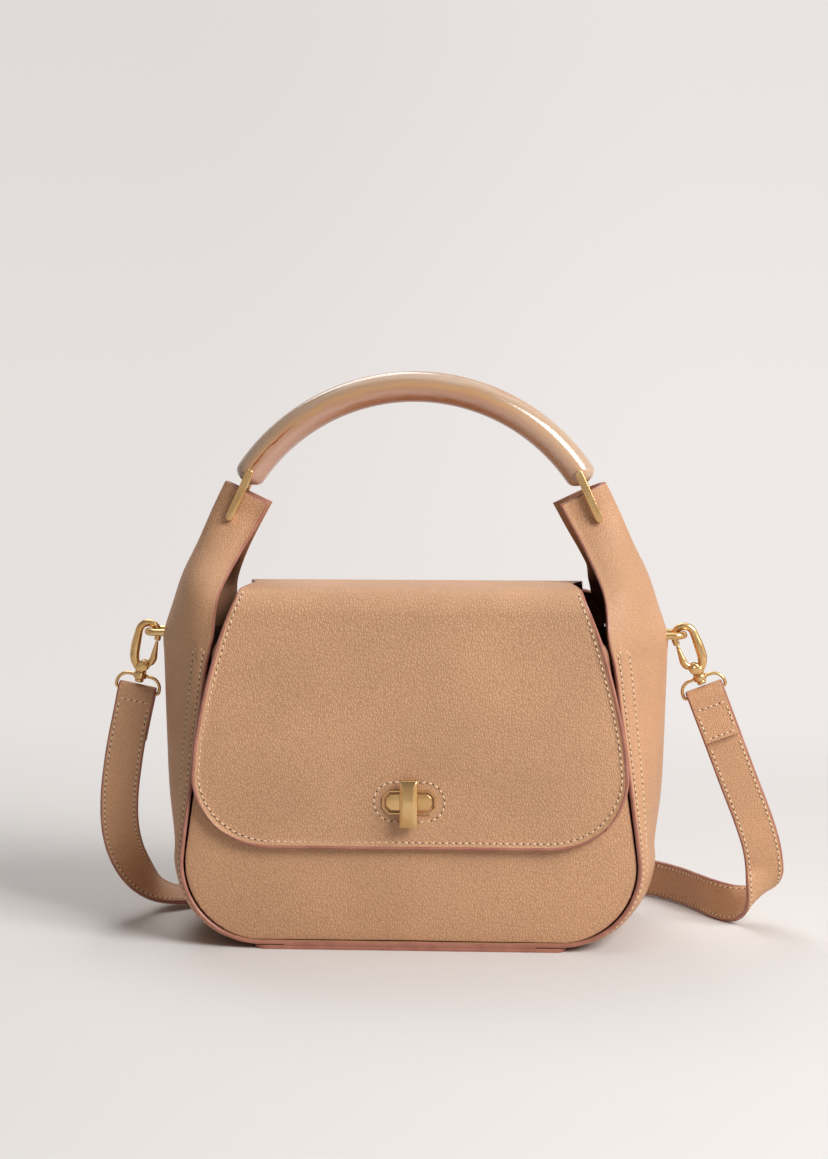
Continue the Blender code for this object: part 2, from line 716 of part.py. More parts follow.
def lock_frame():
    """Octagonal metal rim through the flap's leather."""
    low, high = FLAP_FACE_Y - LOCK_FRAME_PROUD, FLAP_FACE_Y + LEATHER
    outline = octagon(LOCK_FRAME, LOCK_CHAMFER, (0.0, LOCK_Z))
    made = plate("lock_frame", outline, low, high, finish=SATIN_GOLD)
    return add_boolean(made, lock_opening("lock_frame_opening", low, high), "DIFFERENCE")


def lock_frame_back():
    """Thin plate behind the flap that the rim is clenched on."""
    low = FLAP_FACE_Y + LEATHER + GAP
    outline = octagon(LOCK_BACK_FRAME[:2], LOCK_CHAMFER * 1.6, (0.0, LOCK_Z))
    made = plate("lock_frame_back", outline, low, low + LOCK_BACK_FRAME[2], finish=SATIN_GOLD)
    cut = lock_opening("lock_frame_back_opening", low, low + LOCK_BACK_FRAME[2])
    return add_boolean(made, cut, "DIFFERENCE")


def lock_base():
    """Plate on the front panel whose raised middle fills the rim's opening."""
    high = -PANEL_FACE - GAP
    low = high - LOCK_BASE[2] + 0.2 * MM
    outline = octagon(LOCK_BASE[:2], LOCK_CHAMFER, (0.0, LOCK_Z))
    made = plate("lock_base", outline, low, high, finish=SATIN_GOLD)
    size = (LOCK_FRAME[0] - 2 * (LOCK_RIM + LOCK_CLEARANCE), LOCK_FRAME[1] - 2 * (LOCK_RIM + LOCK_CLEARANCE))
    raised = plate(
        "lock_base_raised",
        octagon(size, LOCK_CHAMFER - LOCK_RIM, (0.0, LOCK_Z)),
        lock_boss_y(),
        (low + high) / 2.0,
        cutter=True,
    )
    add_boolean(made, raised, "UNION")
    hole = cylinder(
        "lock_base_hole",
        SPINDLE_R + GAP,
        (0, lock_boss_y() - LEATHER, LOCK_Z),
        (0, high + LEATHER, LOCK_Z),
        cutter=True,
    )
    return add_boolean(made, hole, "DIFFERENCE")


def lock_boss_y():
    """Front face of the lock's raised middle, a little behind the rim's front."""
    return FLAP_FACE_Y - LOCK_FRAME_PROUD + 0.4 * MM


def lock_toggle():
    """Bevelled bar on a spindle that turns across the rim's opening."""
    back = FLAP_FACE_Y - LOCK_FRAME_PROUD - 0.5 * MM
    front = back - TOGGLE[2]
    made = box(
        "lock_toggle",
        (-TOGGLE[0] / 2.0, front, LOCK_Z - TOGGLE[1] / 2.0),
        (TOGGLE[0] / 2.0, back, LOCK_Z + TOGGLE[1] / 2.0),
        finish=SATIN_GOLD,
    )
    add_bevel(made, TOGGLE_BEVEL, segments=1)
    spindle = cylinder(
        "lock_spindle", SPINDLE_R, (0, front + TOGGLE[2] / 2.0, LOCK_Z), (0, lock_back_plate_y(), LOCK_Z), cutter=True
    )
    return add_boolean(made, spindle, "UNION")


def lock_back_plate_y():
    """Inner face of the plate behind the front panel."""
    return -PANEL_INNER + GAP + LOCK_BACK_PLATE[2]


def lock_back_plate():
    """Metal plate inside the bag that the lock is fixed to."""
    inner = lock_back_plate_y()
    low = inner - LOCK_BACK_PLATE[2]
    outline = octagon(LOCK_BACK_PLATE[:2], LOCK_CHAMFER, (0.0, LOCK_Z))
    made = plate("lock_back_plate", outline, low, inner, finish=SATIN_GOLD)
    hole = cylinder(
        "lock_back_hole", SPINDLE_R + GAP, (0, low - LEATHER, LOCK_Z), (0, inner + LEATHER, LOCK_Z), cutter=True
    )
    return add_boolean(made, hole, "DIFFERENCE")


def handle_centre_z():
    """Height of the centre of the handle's arc, which runs through the links' upper pins."""
    return LINK_TOP[1] - sqrt(HANDLE_ARC_R**2 - LINK_TOP[0] ** 2)


def handle():
    """Round resin bar on an arc, with rounded ends and a cross hole near each end."""
    end_angle = degrees(acos(LINK_TOP[0] / HANDLE_ARC_R)) - degrees(HANDLE_END_PAST / HANDLE_ARC_R)
    path = [(90.0 - end_angle) * (1.0 - 2.0 * i / 26) for i in range(27)]
    cap = degrees(HANDLE_CAP / HANDLE_ARC_R)
    limit = path[0]
    path = [limit - cap * (1.0 - s) for s in (1.0, 0.9, 0.62, 0.3)] + path[2:-2]
    path = path + [-a for a in path[3::-1]]
    points, sizes = [], []
    for angle in path:
        inward = max(0.0, 1.0 - (limit - abs(angle)) / cap)
        sizes.append(max(0.3, sqrt(1.0 - min(1.0, inward) ** 2)))
        points.append((HANDLE_ARC_R * sin(radians(angle)), 0.0, handle_centre_z() + HANDLE_ARC_R * cos(radians(angle))))
    made = tube("handle", points, HANDLE_R, RESIN, sizes=sizes, resolution=4)
    for side, name in ((-1, "left"), (1, "right")):
        hole = cylinder(
            f"handle_{name}_hole",
            LINK_PIN_R + PIVOT_CLEARANCE,
            (side * LINK_TOP[0], -2 * HANDLE_R, LINK_TOP[1]),
            (side * LINK_TOP[0], 2 * HANDLE_R, LINK_TOP[1]),
            cutter=True,
            sides=16,
        )
        add_boolean(made, hole, "DIFFERENCE")
    return made


def handle_link(side, name):
    """Rectangular metal link: two flat bars joined by a pin in the handle and one in the wing."""
    foot = Vector((side * LINK_FOOT[0], 0.0, LINK_FOOT[1]))
    top = Vector((side * LINK_TOP[0], 0.0, LINK_TOP[1]))
    inner = HANDLE_R + LINK_SIDE_GAP
    outline = stadium(foot, top, LINK_BAR[0] / 2.0, 5)
    made = plate(name, outline, -inner - LINK_BAR[1], -inner, finish=SATIN_GOLD)
    add_boolean(made, plate(name + "_back", outline, inner, inner + LINK_BAR[1], cutter=True), "UNION")
    for label, centre in (("foot", foot), ("top", top)):
        reach = Vector((0.0, inner + LINK_BAR[1] / 2.0, 0.0))
        pin = cylinder(f"{name}_{label}_pin", LINK_PIN_R, centre - reach, centre + reach, cutter=True, sides=16)
        add_boolean(made, pin, "UNION")
    return made


def loop_outer_x():
    """Outermost x of the gussets, where the side loops come out."""
    return max(point[0] for point in WING_FOLD) * MM


def loop_plate_x():
    """Outer face of the plate that holds a side loop's legs."""
    return loop_outer_x() - LEATHER - LOOP_PLATE_BACK


def loop_bar_x():
    """Middle of the side loop's outer bar."""
    return loop_outer_x() + LOOP_REACH


def side_loop(side, name):
    """Metal staple through the gusset, with its bar along the depth for the clip to hang on."""
    start, bar, half, turn = loop_plate_x() + GAP, loop_bar_x(), LOOP_HALF_WIDTH, 5.0 * MM
    plan = [(start, -half)]
    plan += arc((bar - turn, -half + turn), (turn, turn), -90.0, 0.0, 4)
    plan += [(x, -y) for x, y in reversed(plan)]
    points = [(side * x, y, LOOP_Z) for x, y in plan]
    return tube(name, points, LOOP_WIRE, SATIN_GOLD)


def loop_plate(side, name):
    """Small plate inside the gusset at the loop's legs."""
    outer = loop_plate_x()
    xs = sorted((side * outer, side * (outer - LOOP_PLATE[0])))
    return box(
        name,
        (xs[0], -LOOP_PLATE[1] / 2.0, LOOP_Z - LOOP_PLATE[2] / 2.0),
        (xs[1], LOOP_PLATE[1] / 2.0, LOOP_Z + LOOP_PLATE[2] / 2.0),
        finish=SATIN_GOLD,
        bevel=0.3 * MM,
    )


def clip_place(side):
    """Transform from a clip's own frame, hung on its side loop and tilted outwards, to the world."""
    tilt = LEFT_TILT if side < 0 else RIGHT_TILT
    hang = CLIP_HEIGHT - CLIP_WIRE - GAP - LOOP_WIRE
    flip = Matrix.Diagonal((side, 1.0, 1.0, 1.0))
    turn = Matrix.Rotation(radians(-tilt), 4, "Y")
    place = Matrix.Translation((loop_bar_x(), 0.0, LOOP_Z)) @ turn @ Matrix.Translation((0.0, 0.0, -hang))
    return flip @ place


def oval_arc(centre_z, start, end, steps):
    """Points on one of the clip oval's two round ends; 0 degrees is the outer side."""
    radii = (CLIP_HALF_WIDTH, CLIP_HALF_WIDTH)
    return [Vector((x, 0.0, z)) for x, z in arc((0.0, centre_z), radii, start, end, steps)]


def bake(made):
    """Apply an object's modifiers to its mesh."""
    bpy.context.view_layer.update()
    graph = bpy.context.evaluated_depsgraph_get()
    mesh = bpy.data.meshes.new_from_object(made.evaluated_get(graph))
    made.modifiers.clear()
    made.data = mesh
    return made


def set_origin(made, point):
    """Put a moving piece's origin on its joint's axis without moving the piece."""
    point = Vector(point)
    made.data.transform(Matrix.Translation(-point))
    made.location = point
    return made


def clips():
    """Both snap clips: swivelling hook, sprung gate on a pin, and D-ring with a collar.

    Each piece is built once in the clip's own frame and copied to both sides.
    """
    swivel = (0.0, 0.0, 0.0)
    pivot = (GATE_PIVOT[0], 0.0, GATE_PIVOT[1])
    pieces = (
        ("hook", clip_hook(), swivel),
        ("gate", clip_gate(), pivot),
        ("pin", clip_pin(), pivot),
        ("ring", clip_ring(), swivel),
    )
    for label, piece, origin in pieces:
        bake(piece)
        for side, name in ((-1, "left"), (1, "right")):
            place = clip_place(side)
            mesh = piece.data.copy()
            mesh.transform(place)
            if side < 0:
                mesh.flip_normals()
            made = smooth(add_object(f"{name}_clip_{label}", mesh, SATIN_GOLD), 50.0)
            set_origin(made, place @ Vector(origin))
        bpy.data.objects.remove(piece)


def clip_hook():
    """Hook bar, forked boss and swivel post with its head, as one piece."""
    name = "hook"
    points = oval_arc(CLIP_BOSS_Z + CLIP_HALF_WIDTH, HOOK_ROOT, 0.0, 4)
    points += oval_arc(CLIP_HEIGHT - CLIP_HALF_WIDTH, 0.0, 180.0, 8)
    points.append(Vector((-CLIP_HALF_WIDTH, 0.0, HOOK_TIP_Z)))
    bar = tube(name, points, CLIP_WIRE, SATIN_GOLD)
    half = CLIP_BOSS_WIDTH / 2.0
    boss = cylinder(name + "_boss", CLIP_BOSS_R, (0.0, -half, CLIP_BOSS_Z), (0.0, half, CLIP_BOSS_Z), cutter=True)
    post = cylinder(name + "_post", POST_R, (0.0, 0.0, CLIP_BOSS_Z - 3 * MM), (0.0, 0.0, POST_HEAD_Z - POST_HEAD / 2), cutter=True, sides=14)
    head = cylinder(name + "_head", POST_HEAD_R, (0.0, 0.0, POST_HEAD_Z), (0.0, 0.0, POST_HEAD_Z - POST_HEAD), cutter=True, sides=14)
    fork = box(
        name + "_fork",
        (-CLIP_HALF_WIDTH - CLIP_BOSS_R, -CLIP_FORK / 2.0, CLIP_BOSS_Z - GATE_EYE_R - GAP),
        (GATE_PIVOT[0] + GATE_EYE_R + GAP, CLIP_FORK / 2.0, CLIP_BOSS_Z + 2 * CLIP_BOSS_R),
        cutter=True,
    )
    hole = cylinder(
        name + "_pin_hole",
        GATE_PIN_R + PIN_CLEARANCE,
        (GATE_PIVOT[0], -2 * half, GATE_PIVOT[1]),
        (GATE_PIVOT[0], 2 * half, GATE_PIVOT[1]),
        cutter=True,
        sides=10,
    )
    add_boolean(bar, boss, "UNION")
    add_boolean(bar, post, "UNION")
    add_boolean(bar, head, "UNION")
    add_boolean(bar, fork, "DIFFERENCE")
    return add_boolean(bar, hole, "DIFFERENCE")


def clip_gate():
    """Curved gate from the pin up to the hook's tip, with a narrower end that passes under the tip."""
    points = [Vector((GATE_PIVOT[0], 0.0, GATE_PIVOT[1]))]
    points += oval_arc(CLIP_BOSS_Z + CLIP_HALF_WIDTH, 215.0, 180.0, 3)
    tip_z = HOOK_TIP_Z - GATE_TIP_GAP
    points.append(Vector((-CLIP_HALF_WIDTH, 0.0, tip_z - GATE_WIRE)))
    points.append(Vector((-CLIP_HALF_WIDTH, 0.0, tip_z)))
    sizes = [1.0] * (len(points) - 1) + [GATE_TIP_SHARE]
    name = "gate"
    bar = tube(name, points, GATE_WIRE, SATIN_GOLD, sizes=sizes)
    half = (CLIP_FORK - 2 * GAP) / 2.0
    eye = cylinder(
        name + "_eye",
        GATE_EYE_R,
        (GATE_PIVOT[0], -half, GATE_PIVOT[1]),
        (GATE_PIVOT[0], half, GATE_PIVOT[1]),
        cutter=True,
        sides=16,
    )
    hole = cylinder(
        name + "_eye_hole",
        GATE_PIN_R + PIN_CLEARANCE,
        (GATE_PIVOT[0], -2 * half, GATE_PIVOT[1]),
        (GATE_PIVOT[0], 2 * half, GATE_PIVOT[1]),
        cutter=True,
        sides=10,
    )
    add_boolean(bar, eye, "UNION")
    return add_boolean(bar, hole, "DIFFERENCE")


def clip_pin():
    """Pin that the gate turns on."""
    half = CLIP_BOSS_WIDTH / 2.0
    start, end = (GATE_PIVOT[0], -half, GATE_PIVOT[1]), (GATE_PIVOT[0], half, GATE_PIVOT[1])
    return cylinder("pin", GATE_PIN_R, start, end, SATIN_GOLD, sides=10)


def clip_ring():
    """D-ring with round shoulders for the strap, and the collar that the hook swivels in."""
    name = "ring"
    half = (DRING_WIDTH - 2 * DRING_WIRE) / 2.0
    top, low, turn, shoulder = ring_top_z(), ring_bar_z(), DRING_CORNER, DRING_SHOULDER
    right = arc((half - turn, low + turn), (turn, turn), -90.0, 0.0, 3)
    right += arc((half - shoulder, top - shoulder), (shoulder, shoulder), 0.0, 90.0, 5)
    path = [(x, 0.0, z) for x, z in right + [(-x, z) for x, z in reversed(right)]]
    bar = tube(name, path, DRING_WIRE, SATIN_GOLD, closed=True)
    collar = cylinder(name + "_collar", COLLAR_R, (0.0, 0.0, -COLLAR_HEIGHT), (0.0, 0.0, 0.0), cutter=True, sides=18)
    hole = cylinder(name + "_hole", POST_R + GAP, (0.0, 0.0, -2 * COLLAR_HEIGHT), (0.0, 0.0, COLLAR_HEIGHT), cutter=True, sides=14)
    add_boolean(bar, collar, "UNION")
    return add_boolean(bar, hole, "DIFFERENCE")


def ring_top_z():
    """Middle of the D-ring's top bar, through the collar."""
    return -COLLAR_HEIGHT / 2.0


def ring_bar_z():
    """Middle of the D-ring's lower bar in the clip's frame."""
    return ring_top_z() - DRING_DROP


def strap_fold(side):
    """Strap's end folded over the D-ring's bar, from the short end round to the long one.

    The short end lies behind on the left and in front on the right.
    """
    place = clip_place(side)
    wrap = DRING_WIRE + STRAP_FACE_GAP + STRAP_THICK / 2.0
    rest = STRAP_THICK / 2.0 + STRAP_FACE_GAP
    shape = [
        (rest, -STRAP_FOLD_LENGTH),
        (rest, -STRAP_FOLD_LENGTH * 0.45),
        (wrap * 0.94, -2.5 * MM),
        (wrap * 0.76, wrap * 0.68),
        (0.0, wrap),
        (-wrap * 0.76, wrap * 0.68),
        (-wrap * 0.94, -2.5 * MM),
        (-rest, -STRAP_FOLD_LENGTH * 0.45),
        (-rest, -STRAP_FOLD_LENGTH),
    ]
    across = place.to_3x3() @ Vector((side, 0.0, 0.0))
    return [(place @ Vector((0.0, -side * y, ring_bar_z() + z)), across) for y, z in shape]


def strap_roll():
    """Strap's half turn at the right: a band wound at 45 degrees round a slanting axis.

    With the axis a, a first direction e across it and the angle t, the centre line is
    start + radius (t a + sin(t) e + (1 - cos(t)) y), and the direction across the band is
    (cos(t) e + sin(t) y - a) / sqrt(2).
    """
    axis = Vector((-1.0, 0.0, -1.0)).normalized()
    first = Vector((1.0, 0.0, -1.0)).normalized()
    back = Vector((0.0, 1.0, 0.0))
    stops = []
    for t in np.radians(np.linspace(STRAP_ROLL_TURN, 0.0, 7)):
        move = axis * t + first * sin(t) + back * (1.0 - cos(t))
        across = (first * cos(t) + back * sin(t) - axis).normalized()
        stops.append((Vector(STRAP_ROLL_START) + move * STRAP_ROLL_R, across))
    return stops


def strap_frames():
    """Centre points, width directions and face directions along the whole strap."""
    stops = strap_fold(-1)
    for point, across in STRAP_ROUTE + strap_roll() + STRAP_RISE:
        stops.append((Vector(point) * MM, Vector(across).normalized()))
    stops += [(point, across) for point, across in reversed(strap_fold(1))]
    route = np.array([[*point, *(across * 0.02)] for point, across in stops])
    fine = smooth_path(route, STRAP_STEP)
    centre, across = fine[:, :3], fine[:, 3:]
    along = np.gradient(centre, axis=0)
    along /= np.linalg.norm(along, axis=1)[:, None]
    across = across - along * np.sum(across * along, axis=1)[:, None]
    across /= np.linalg.norm(across, axis=1)[:, None]
    return centre, across, np.cross(along, across)


def strap():
    """Leather strap as one ribbon with eased edges."""
    centre, across, face = strap_frames()
    half, thick, ease = STRAP_WIDTH / 2.0, STRAP_THICK / 2.0, 0.5 * MM
    section = [
        (-half, -thick + ease),
        (-half + ease, -thick),
        (half - ease, -thick),
        (half, -thick + ease),
        (half, thick - ease),
        (half - ease, thick),
        (-half + ease, thick),
        (-half, thick - ease),
    ]
    rows = np.stack([centre + across * a + face * b for a, b in section], axis=1)
    steps = np.linalg.norm(np.diff(centre, axis=0), axis=1)
    length = float(steps.sum())
    where = np.concatenate([[0.0], np.cumsum(steps)])
    apart = np.linalg.norm(centre[:, None] - centre[None, :], axis=2)
    far = np.abs(where[:, None] - where[None, :]) > 3.0 * STRAP_THICK * 2.0
    gap = float(apart[far].min()) - STRAP_THICK
    print(f"strap length {length / MM:.0f} mm, least gap to itself {gap / MM:.2f} mm")
    mesh = grid_mesh("strap", rows, wrap=True, cap_first=True, cap_last=True)
    made = smooth(add_object("strap", mesh, STRAP_LEATHER), 35.0)
    return made


for old in list(bpy.data.objects):
    bpy.data.objects.remove(old)
PARTS = bpy.data.collections.new("crossbody_bag")
CUTTERS = bpy.data.collections.new("cutters")
for group in (PARTS, CUTTERS):
    bpy.context.scene.collection.children.link(group)

TAN_LEATHER = material("tan_leather", (0.58, 0.33, 0.18), 0.55)
STRAP_LEATHER = material("strap_leather", (0.56, 0.31, 0.17), 0.55)
BOARD_FIBRE = material("board_fibre", (0.30, 0.22, 0.15), 0.8)
LINING_FABRIC = material("lining_fabric", (0.62, 0.50, 0.38), 0.85)
SATIN_GOLD = material("satin_gold", (0.72, 0.50, 0.22), 0.3, 1.0)
RESIN = material("resin", (0.66, 0.42, 0.28), 0.15)

front_panel()
back_panel()
gusset(-1, "left_gusset")
gusset(1, "right_gusset")
base_panel()
base_board()
lining()
slip_pocket()
set_origin(flap_top(), flap_back_axis())
set_origin(flap_front(), (0.0, *flap_bend_point(FLAP_SPLIT)))
lock_frame()
lock_frame_back()
lock_base()
lock_back_plate()
set_origin(lock_toggle(), (0.0, FLAP_FACE_Y, LOCK_Z))
set_origin(handle(), (-LINK_TOP[0], 0.0, LINK_TOP[1]))
for side, name in ((-1, "left"), (1, "right")):
    set_origin(handle_link(side, name + "_handle_link"), (side * LINK_FOOT[0], 0.0, LINK_FOOT[1]))
    side_loop(side, name + "_side_loop")
    loop_plate(side, name + "_loop_plate")
clips()
strap()
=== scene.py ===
"""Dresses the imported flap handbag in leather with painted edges, stitches, gold fittings and resin.

Shapes are worked out in millimetres in the model's own frame, with +Z up and the front towards -Y, and
are stored in metres. A shell is a list of points, a list of faces and a finish number for each face.
"""

from math import acos, atan2, cos, degrees, hypot, pi, radians, sin, sqrt

import bpy
import numpy as np
from mathutils import Matrix, Vector


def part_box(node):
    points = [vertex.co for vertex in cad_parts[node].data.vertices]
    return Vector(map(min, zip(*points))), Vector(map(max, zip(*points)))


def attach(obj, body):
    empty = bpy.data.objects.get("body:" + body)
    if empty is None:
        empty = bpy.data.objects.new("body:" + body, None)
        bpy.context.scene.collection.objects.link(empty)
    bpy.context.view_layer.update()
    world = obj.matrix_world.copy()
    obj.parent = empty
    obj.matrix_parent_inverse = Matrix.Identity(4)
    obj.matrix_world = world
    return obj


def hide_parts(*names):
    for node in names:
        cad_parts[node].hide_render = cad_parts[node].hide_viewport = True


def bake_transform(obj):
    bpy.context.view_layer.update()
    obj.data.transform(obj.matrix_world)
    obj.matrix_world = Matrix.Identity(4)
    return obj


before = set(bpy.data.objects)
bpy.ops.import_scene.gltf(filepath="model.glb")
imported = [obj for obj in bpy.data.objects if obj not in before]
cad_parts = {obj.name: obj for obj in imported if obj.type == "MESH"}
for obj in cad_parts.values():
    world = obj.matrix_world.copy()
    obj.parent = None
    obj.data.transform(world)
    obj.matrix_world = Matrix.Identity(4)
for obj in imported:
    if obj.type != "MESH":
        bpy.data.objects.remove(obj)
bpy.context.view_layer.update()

MM = 0.001
DEPTH_WAY = (0.0, 1.0, 0.0)
UP = (0.0, 0.0, 1.0)

# Leather
LEATHER = 2.2
EDGE_EASE = 0.4
ROUND_EASE = 0.95

# Body shell: its main sizes are those of the part's source
HALF_DEPTH = 50.0
PANEL_FACE = 48.0
PANEL_Z = 5.0
CORNER_X = 78.0
CORNER_R = 40.0
CORNER_Z = PANEL_Z + CORNER_R
SEAM_TOP_HALF = 102.5
SEAM_TOP_Z = 158.0
SEAM_OFFSET = 2.7
FRONT_PANEL_TOP = 166.0
FRONT_PANEL_ROUND = 12.0
FRONT_SWELL = 1.9
FRONT_FOOT = 60.0
BACK_PANEL_TOP = 181.0
BACK_SWELL = 1.5
BACK_CORNER = [
    (48.0, 160.0), (47.7, 170.0), (45.8, 177.6), (41.2, 182.9), (34.0, 186.06), (27.0, 187.2), (20.0, 188.04),
]
FLAP_JOIN_Y = 20.0
BASE_HALF = 82.0
BASE_STRIP = 2.0
BASE_CORNER = 6.0
GUSSET_FOOT_X = 66.0
GUSSET_FOOT_Z = 2.3
GUSSET_GRID = (210, 121)
FURROW_DEPTH = 0.32
FURROW_WIDTH = 0.9
PUFF_RISE = 0.75
WING_FLARE = 1.2
WING_FLARE_REACH = 4.0
SIDE_SWELL = 9.0
SWELL_START = 80.0
SIDE_FOLD = [(132.4, 78.0), (133.7, 106.0), (134.5, 132.0), (135.0, 150.0)]
WING_EDGE = [(103.0, 163.0), (101.8, 178.0), (99.5, 189.0), (92.5, 204.4), (84.4, 219.0), (77.4, 231.5)]
WING_FOLD = [(135.0, 162.0), (130.0, 178.0), (124.6, 194.0), (116.4, 211.0), (108.6, 228.5), (101.4, 243.4)]
WING_SPREAD = [49.0, 43.5, 35.0, 19.0, 8.6, 7.6]
WING_POWER = [1.5, 1.2, 1.0, 1.0, 0.9, 0.8]
WING_LEAN = {-1: 0.0, 1: 6.5}
LINING_FACE = 44.0
LINING_TOP = 161.0
LINING_FLOOR = 7.3
LINING_SKIN = 0.8
LINING_INSET = 2.8
LINING_SIDE_GAP = 7.0

# Flap: its main sizes are those of the part's source
FLAP_CROWN = (-22.0, 190.6)
FLAP_BACK_Z = 183.5
FLAP_BEND = 13.0
FLAP_FACE_Y = -53.0
FLAP_TOP_HALF = [
    (48.0, 90.2), (34.0, 90.0), (20.0, 89.6), (6.0, 88.6), (-15.5, 84.7), (-25.0, 86.0), (-40.0, 88.6),
]
FLAP_BEND_HALF = 90.6
FLAP_WIDE_HALF = 113.2
FLAP_WIDE_Z = 93.0
FLAP_BOTTOM_Z = 55.1
FLAP_CORNER_X = 41.0
FLAP_SIDE = [(113.2, 93.0), (111.2, 112.0), (106.0, 137.0), (99.6, 160.6), (94.6, 176.0), (90.6, 186.2)]
FLAP_SPLIT = 135.0
FLAP_BELLY = 0.9
FLAP_CURL = 1.6
FLAP_CURL_REACH = 4.5

# Turn lock
LOCK_Z = 79.6
LOCK_FRAME = (28.0, 12.6)
LOCK_CHAMFER = 3.4
LOCK_RIM = 0.9
LOCK_HOLE = (LOCK_FRAME[0] - 2 * LOCK_RIM, LOCK_FRAME[1] - 2 * LOCK_RIM)
LOCK_GAP = 1.0
LOCK_PROUD = 1.2
LOCK_PLATE = (36.0, 18.0)
LOCK_STITCH = (36.8, 20.6)
TOGGLE = (9.4, 24.8, 7.0)
TOGGLE_CHAMFER = 1.9

# Handle and links
HANDLE_R = 8.2
HANDLE_ARC_R = 106.4
LINK_TOP = (87.4, 247.68)
LINK_FOOT = (98.0, 224.4)
LINK_BAR = (4.2, 3.0)
LINK_INNER = 8.8
LINK_PIN_R = 1.9
LINK_EASE = 0.55
HANDLE_END_PAST = 6.5
HANDLE_CAP = 6.0
SLOT_HALF = 2.6
SLOT_PAST = (0.9, 3.0)

# Side loops and snap clips
LOOP_Z = 161.8
LOOP_WIRE = 1.9
LOOP_HALF_WIDTH = 8.0
LOOP_TURN = 5.0
LOOP_START_X = 128.7
LOOP_BAR_X = 143.6
CLIP_HANG = 23.2
CLIP_TILT = {-1: 12.0, 1: 21.0}
CLIP_HALF_WIDTH = 5.3
CLIP_HEIGHT = 27.5
CLIP_BOSS_Z = 4.4
GATE_PIVOT = (-1.7, 4.6)
HOOK_TIP_Z = 19.4
COLLAR_R = 3.7
COLLAR_HEIGHT = 3.2
POST_HEAD_Z = (-3.5, -5.3)
DRING_WIRE = 0.9
DRING_HALF = 11.8
DRING_CORNER = 1.8
DRING_SHOULDER = 6.0
DRING_TOP_Z = -1.6
DRING_BAR_Z = -10.2

# Strap and its route: places and directions across the width; its coil stands on edge
STRAP_WIDTH = 20.6
STRAP_THICK = 2.6
STRAP_FOLD_LENGTH = 26.0
STRAP_FACE_GAP = 0.4
STRAP_EDGE_EASE = 1.0
STRAP_COIL_Z = 10.9
STRAP_FALL = [
    ((-158.4, -1.2, 90.0), (1.00, 0.06, 0.00)),
    ((-161.2, 2.0, 70.0), (0.99, 0.15, 0.02)),
    ((-161.8, 8.0, 51.0), (0.96, 0.28, 0.08)),
    ((-159.0, 17.0, 34.0), (0.78, 0.60, 0.15)),
    ((-152.5, 28.0, 20.0), (0.50, 0.85, 0.13)),
    ((-142.0, 40.0, 9.8), (0.16, 0.98, 0.10)),
    ((-127.0, 52.0, 5.6), (-0.04, 0.98, 0.20)),
    ((-108.0, 60.0, 8.6), (-0.16, 0.52, 0.84)),
    ((-86.0, 63.5, STRAP_COIL_Z), (0.00, 0.06, 1.00)),
]
STRAP_COIL = [
    (-40.0, 64.0), (15.0, 64.0), (70.0, 64.0), (86.0, 68.0), (90.0, 74.5), (84.0, 80.5), (66.0, 83.0),
    (10.0, 83.0), (-60.0, 83.0), (-80.0, 86.0), (-86.0, 92.5), (-80.0, 99.0), (-60.0, 102.0), (0.0, 103.0),
    (70.0, 103.0), (108.0, 97.0), (131.0, 84.0), (146.0, 66.0),
]
STRAP_TURN = [
    ((155.5, 49.0, STRAP_COIL_Z), (0.00, 0.02, 1.00)),
    ((162.6, 35.5, 10.8), (0.02, 0.16, 0.99)),
]
STRAP_RISE = [
    ((186.4, 3.2, 48.0), (0.99, 0.00, 0.14)),
    ((181.2, 2.4, 64.0), (0.96, 0.00, 0.27)),
    ((173.4, 1.9, 84.0), (0.94, 0.00, 0.35)),
]
STRAP_ROLL_START = (188.6, 5.2, 35.4)
STRAP_ROLL_R = 11.5
STRAP_ROLL_TURN = 150.0

# Stitching: on the strap's ends, FOLD_BOX holds the lengths from the end at which rows start and stop
STITCH_PITCH = 3.5
SEAM_PITCH = 3.2
STITCH_LENGTH = 2.15
STITCH_R = 0.42
STITCH_SLANT = 9.0
AWL_R = (0.5, 0.42)
SEAM_STITCH_IN = (3.4, 11.2)
SEAM_STITCH_TOP_Z = 158.0
FLAP_STITCH_IN = 3.1
STRAP_STITCH_IN = 2.3
FOLD_BOX = (2.2, 18.5, 39.5, 62.0)

# Camera that takes the photo's view: place in metres, degrees down and to the left, and focal length
CAMERA_PLACE = (0.075, -1.348, 0.330)
CAMERA_DOWN = 5.9045
CAMERA_TURN = 3.2031
CAMERA_LENS = 78.74


# Shader maths


class Wire:
    """A shader socket that takes part in Python sums; every sum adds its Math node."""

    def __init__(self, recipe, socket):
        self.recipe = recipe
        self.socket = socket

    def math(self, operation, *terms):
        """Result of one Math node on wires and numbers."""
        return self.recipe.node("ShaderNodeMath", {"operation": operation}, dict(enumerate(terms)))

    def __add__(self, other):
        return self.math("ADD", self, other)

    def __radd__(self, other):
        return self.math("ADD", other, self)

    def __sub__(self, other):
        return self.math("SUBTRACT", self, other)

    def __rsub__(self, other):
        return self.math("SUBTRACT", other, self)

    def __mul__(self, other):
        return self.math("MULTIPLY", self, other)

    def __rmul__(self, other):
        return self.math("MULTIPLY", other, self)


